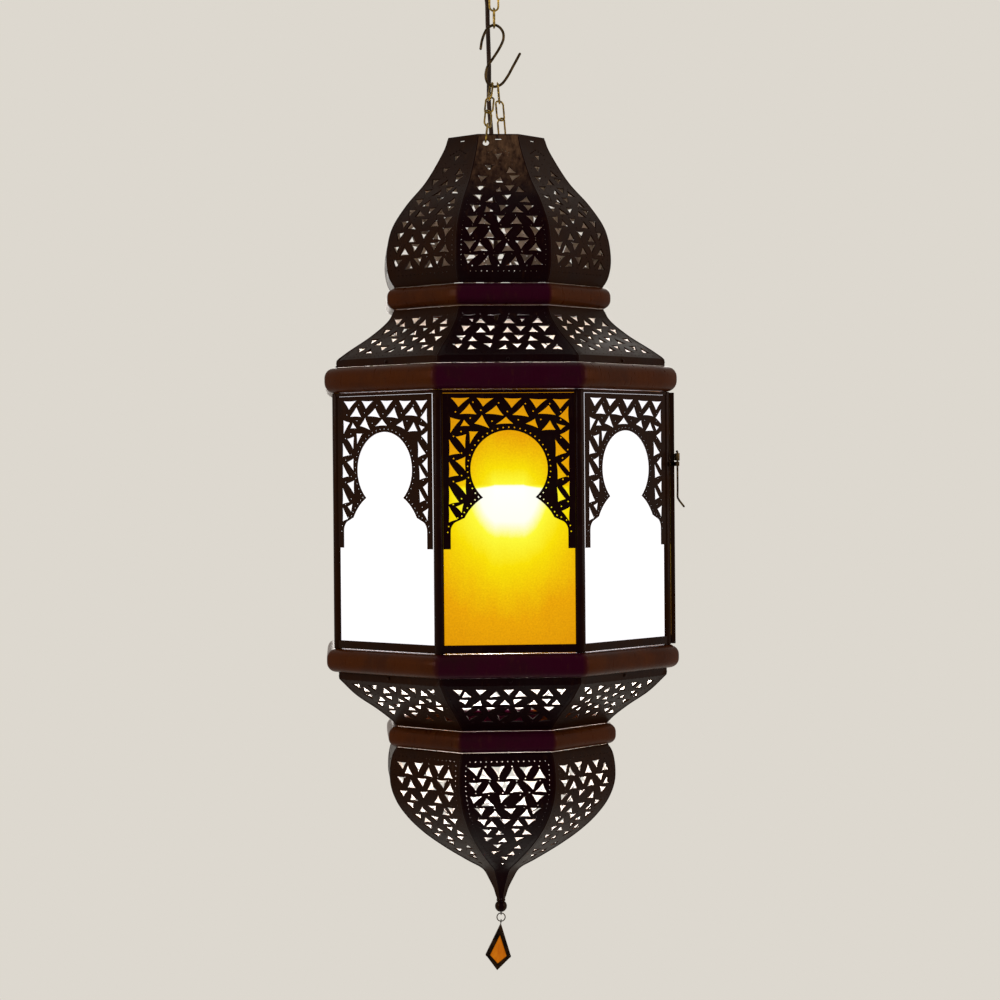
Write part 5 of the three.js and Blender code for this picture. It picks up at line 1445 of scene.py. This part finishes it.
def make_pendant():
    """The kite hangs by its top corner, and its came is a rounded strip with a drop of solder at each corner.
    The glass is the kite's inner outline, made smaller about its widest level at each step of its bevel."""
    pivot = heights("pendant_ring")[0] + PIVOT_UP
    top = pivot - 3.2
    inset = np.array([0, 0.5, CAME_WIDE - 0.5, CAME_WIDE, CAME_WIDE, CAME_WIDE - 0.5, 0.5, 0])
    depth = np.array([-1.5, -2.0, -2.0, -1.5, 1.5, 2.0, 2.0, 1.5])
    strip = grid_part(kite_corners(top, inset, depth), close_rows=True, close_columns=True)
    parts = [leaned(strip, pivot)]
    drop_line = [(0, -2.0), (1.2, -1.7), (1.9, -0.6), (1.9, 0.6), (1.2, 1.7), (0, 2.0)]
    for spot in kite_corners(top, 1.9, 0.0):
        points, faces = turned(drop_line, 14)
        parts.append(leaned((points[:, [0, 2, 1]] + spot, faces), pivot))
    parts.append(leaned(eye(pivot - 1.7), pivot))
    piece("pendant_came_soldered", parts, "pendant", "pendant_frame", CAME, 40)
    level = top - KITE_WIDEST
    size = np.array([0.03, 0.86, 0.99, 0.99, 0.86, 0.03])[:, None]
    depth = np.array([-1.2, -1.2, -0.6, 0.6, 1.2, 1.2])[:, None]
    x, _, z = kite_corners(top, CAME_WIDE - 0.2, 0.0).T
    rows = np.stack([x * size, depth + 0 * x, (z - level) * size + level], -1)
    glass = leaned(grid_part(rows, close_columns=True, cap=True), pivot)
    piece("pendant_glass_cut", [glass], "pendant", "pendant_glass", PENDANT, 12)


make_finial()
make_pendant()


# Stage and light

# All sizes from here on are in metres
FLOOR_Z, FLOOR_RADIUS = -1.62, 2.6
LANTERN_Z, BULB_Z = -0.55, -0.592


def area_lamp(name, place, size, power, colour):
    """A soft square lamp that faces the lantern."""
    lamp = bpy.data.lights.new(name, "AREA")
    lamp.shape, lamp.size, lamp.energy, lamp.color = "SQUARE", size, power, colour
    thing = bpy.data.objects.new(name, lamp)
    thing.location = place
    thing.rotation_mode = "QUATERNION"
    thing.rotation_quaternion = (Vector(place) - Vector((0, 0, LANTERN_Z))).to_track_quat("Z", "Y")
    scene.collection.objects.link(thing)


def make_stage():
    """A pale floor below the lantern, soft lamps around it, and one small lamp inside it."""
    place = (0, 0, FLOOR_Z)
    bpy.ops.mesh.primitive_circle_add(vertices=96, radius=FLOOR_RADIUS, fill_type="NGON", location=place)
    floor = bpy.context.object
    floor.name = "floor"
    pale = Finish("pale_floor", roughness=0.9)
    spots = pale.noise(pale.place(), 3, 2, 0.5)
    floor.data.materials.append(pale.set(Base_Color=pale.mix(spots, "#f2f1ee", "#ecebe7")))
    area_lamp("left_lamp", (-2.4, -1.3, 0.2), 1.5, 40, (1.0, 0.96, 0.9))
    area_lamp("right_lamp", (2.4, -1.1, 0.0), 1.5, 36, (1.0, 0.95, 0.88))
    area_lamp("back_lamp", (0.3, 2.6, 0.3), 1.6, 32, (1.0, 0.97, 0.92))
    inside = bpy.data.lights.new("bulb_light", "POINT")
    inside.energy, inside.shadow_soft_size, inside.color = 7.0, 0.02, (1.0, 0.98, 0.96)
    thing = bpy.data.objects.new("bulb_light", inside)
    thing.location = (0, 0, BULB_Z)
    scene.collection.objects.link(thing)
    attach(thing, LANTERN)


def make_background():
    """A white background, at full strength for what the camera, reflections and glass show, and at half
    strength as light."""
    world = bpy.data.worlds.new("white_room")
    scene.world = world
    world.use_nodes = True
    tree = world.node_tree
    path = tree.nodes.new("ShaderNodeLightPath")
    seen = path.outputs["Is Camera Ray"]
    for ray in ("Is Glossy Ray", "Is Transmission Ray"):
        either = tree.nodes.new("ShaderNodeMath")
        either.operation = "MAXIMUM"
        tree.links.new(seen, either.inputs[0])
        tree.links.new(path.outputs[ray], either.inputs[1])
        seen = either.outputs[0]
    level = tree.nodes.new("ShaderNodeMapRange")
    tree.links.new(seen, level.inputs["Value"])
    level.inputs["To Min"].default_value = 0.5
    level.inputs["To Max"].default_value = 1.0
    back = tree.nodes["Background"]
    tree.links.new(level.outputs[0], back.inputs["Strength"])
    back.inputs["Color"].default_value = rgb("#ddd8cf")


make_stage()
make_background()
scene.view_settings.view_transform = "Standard"
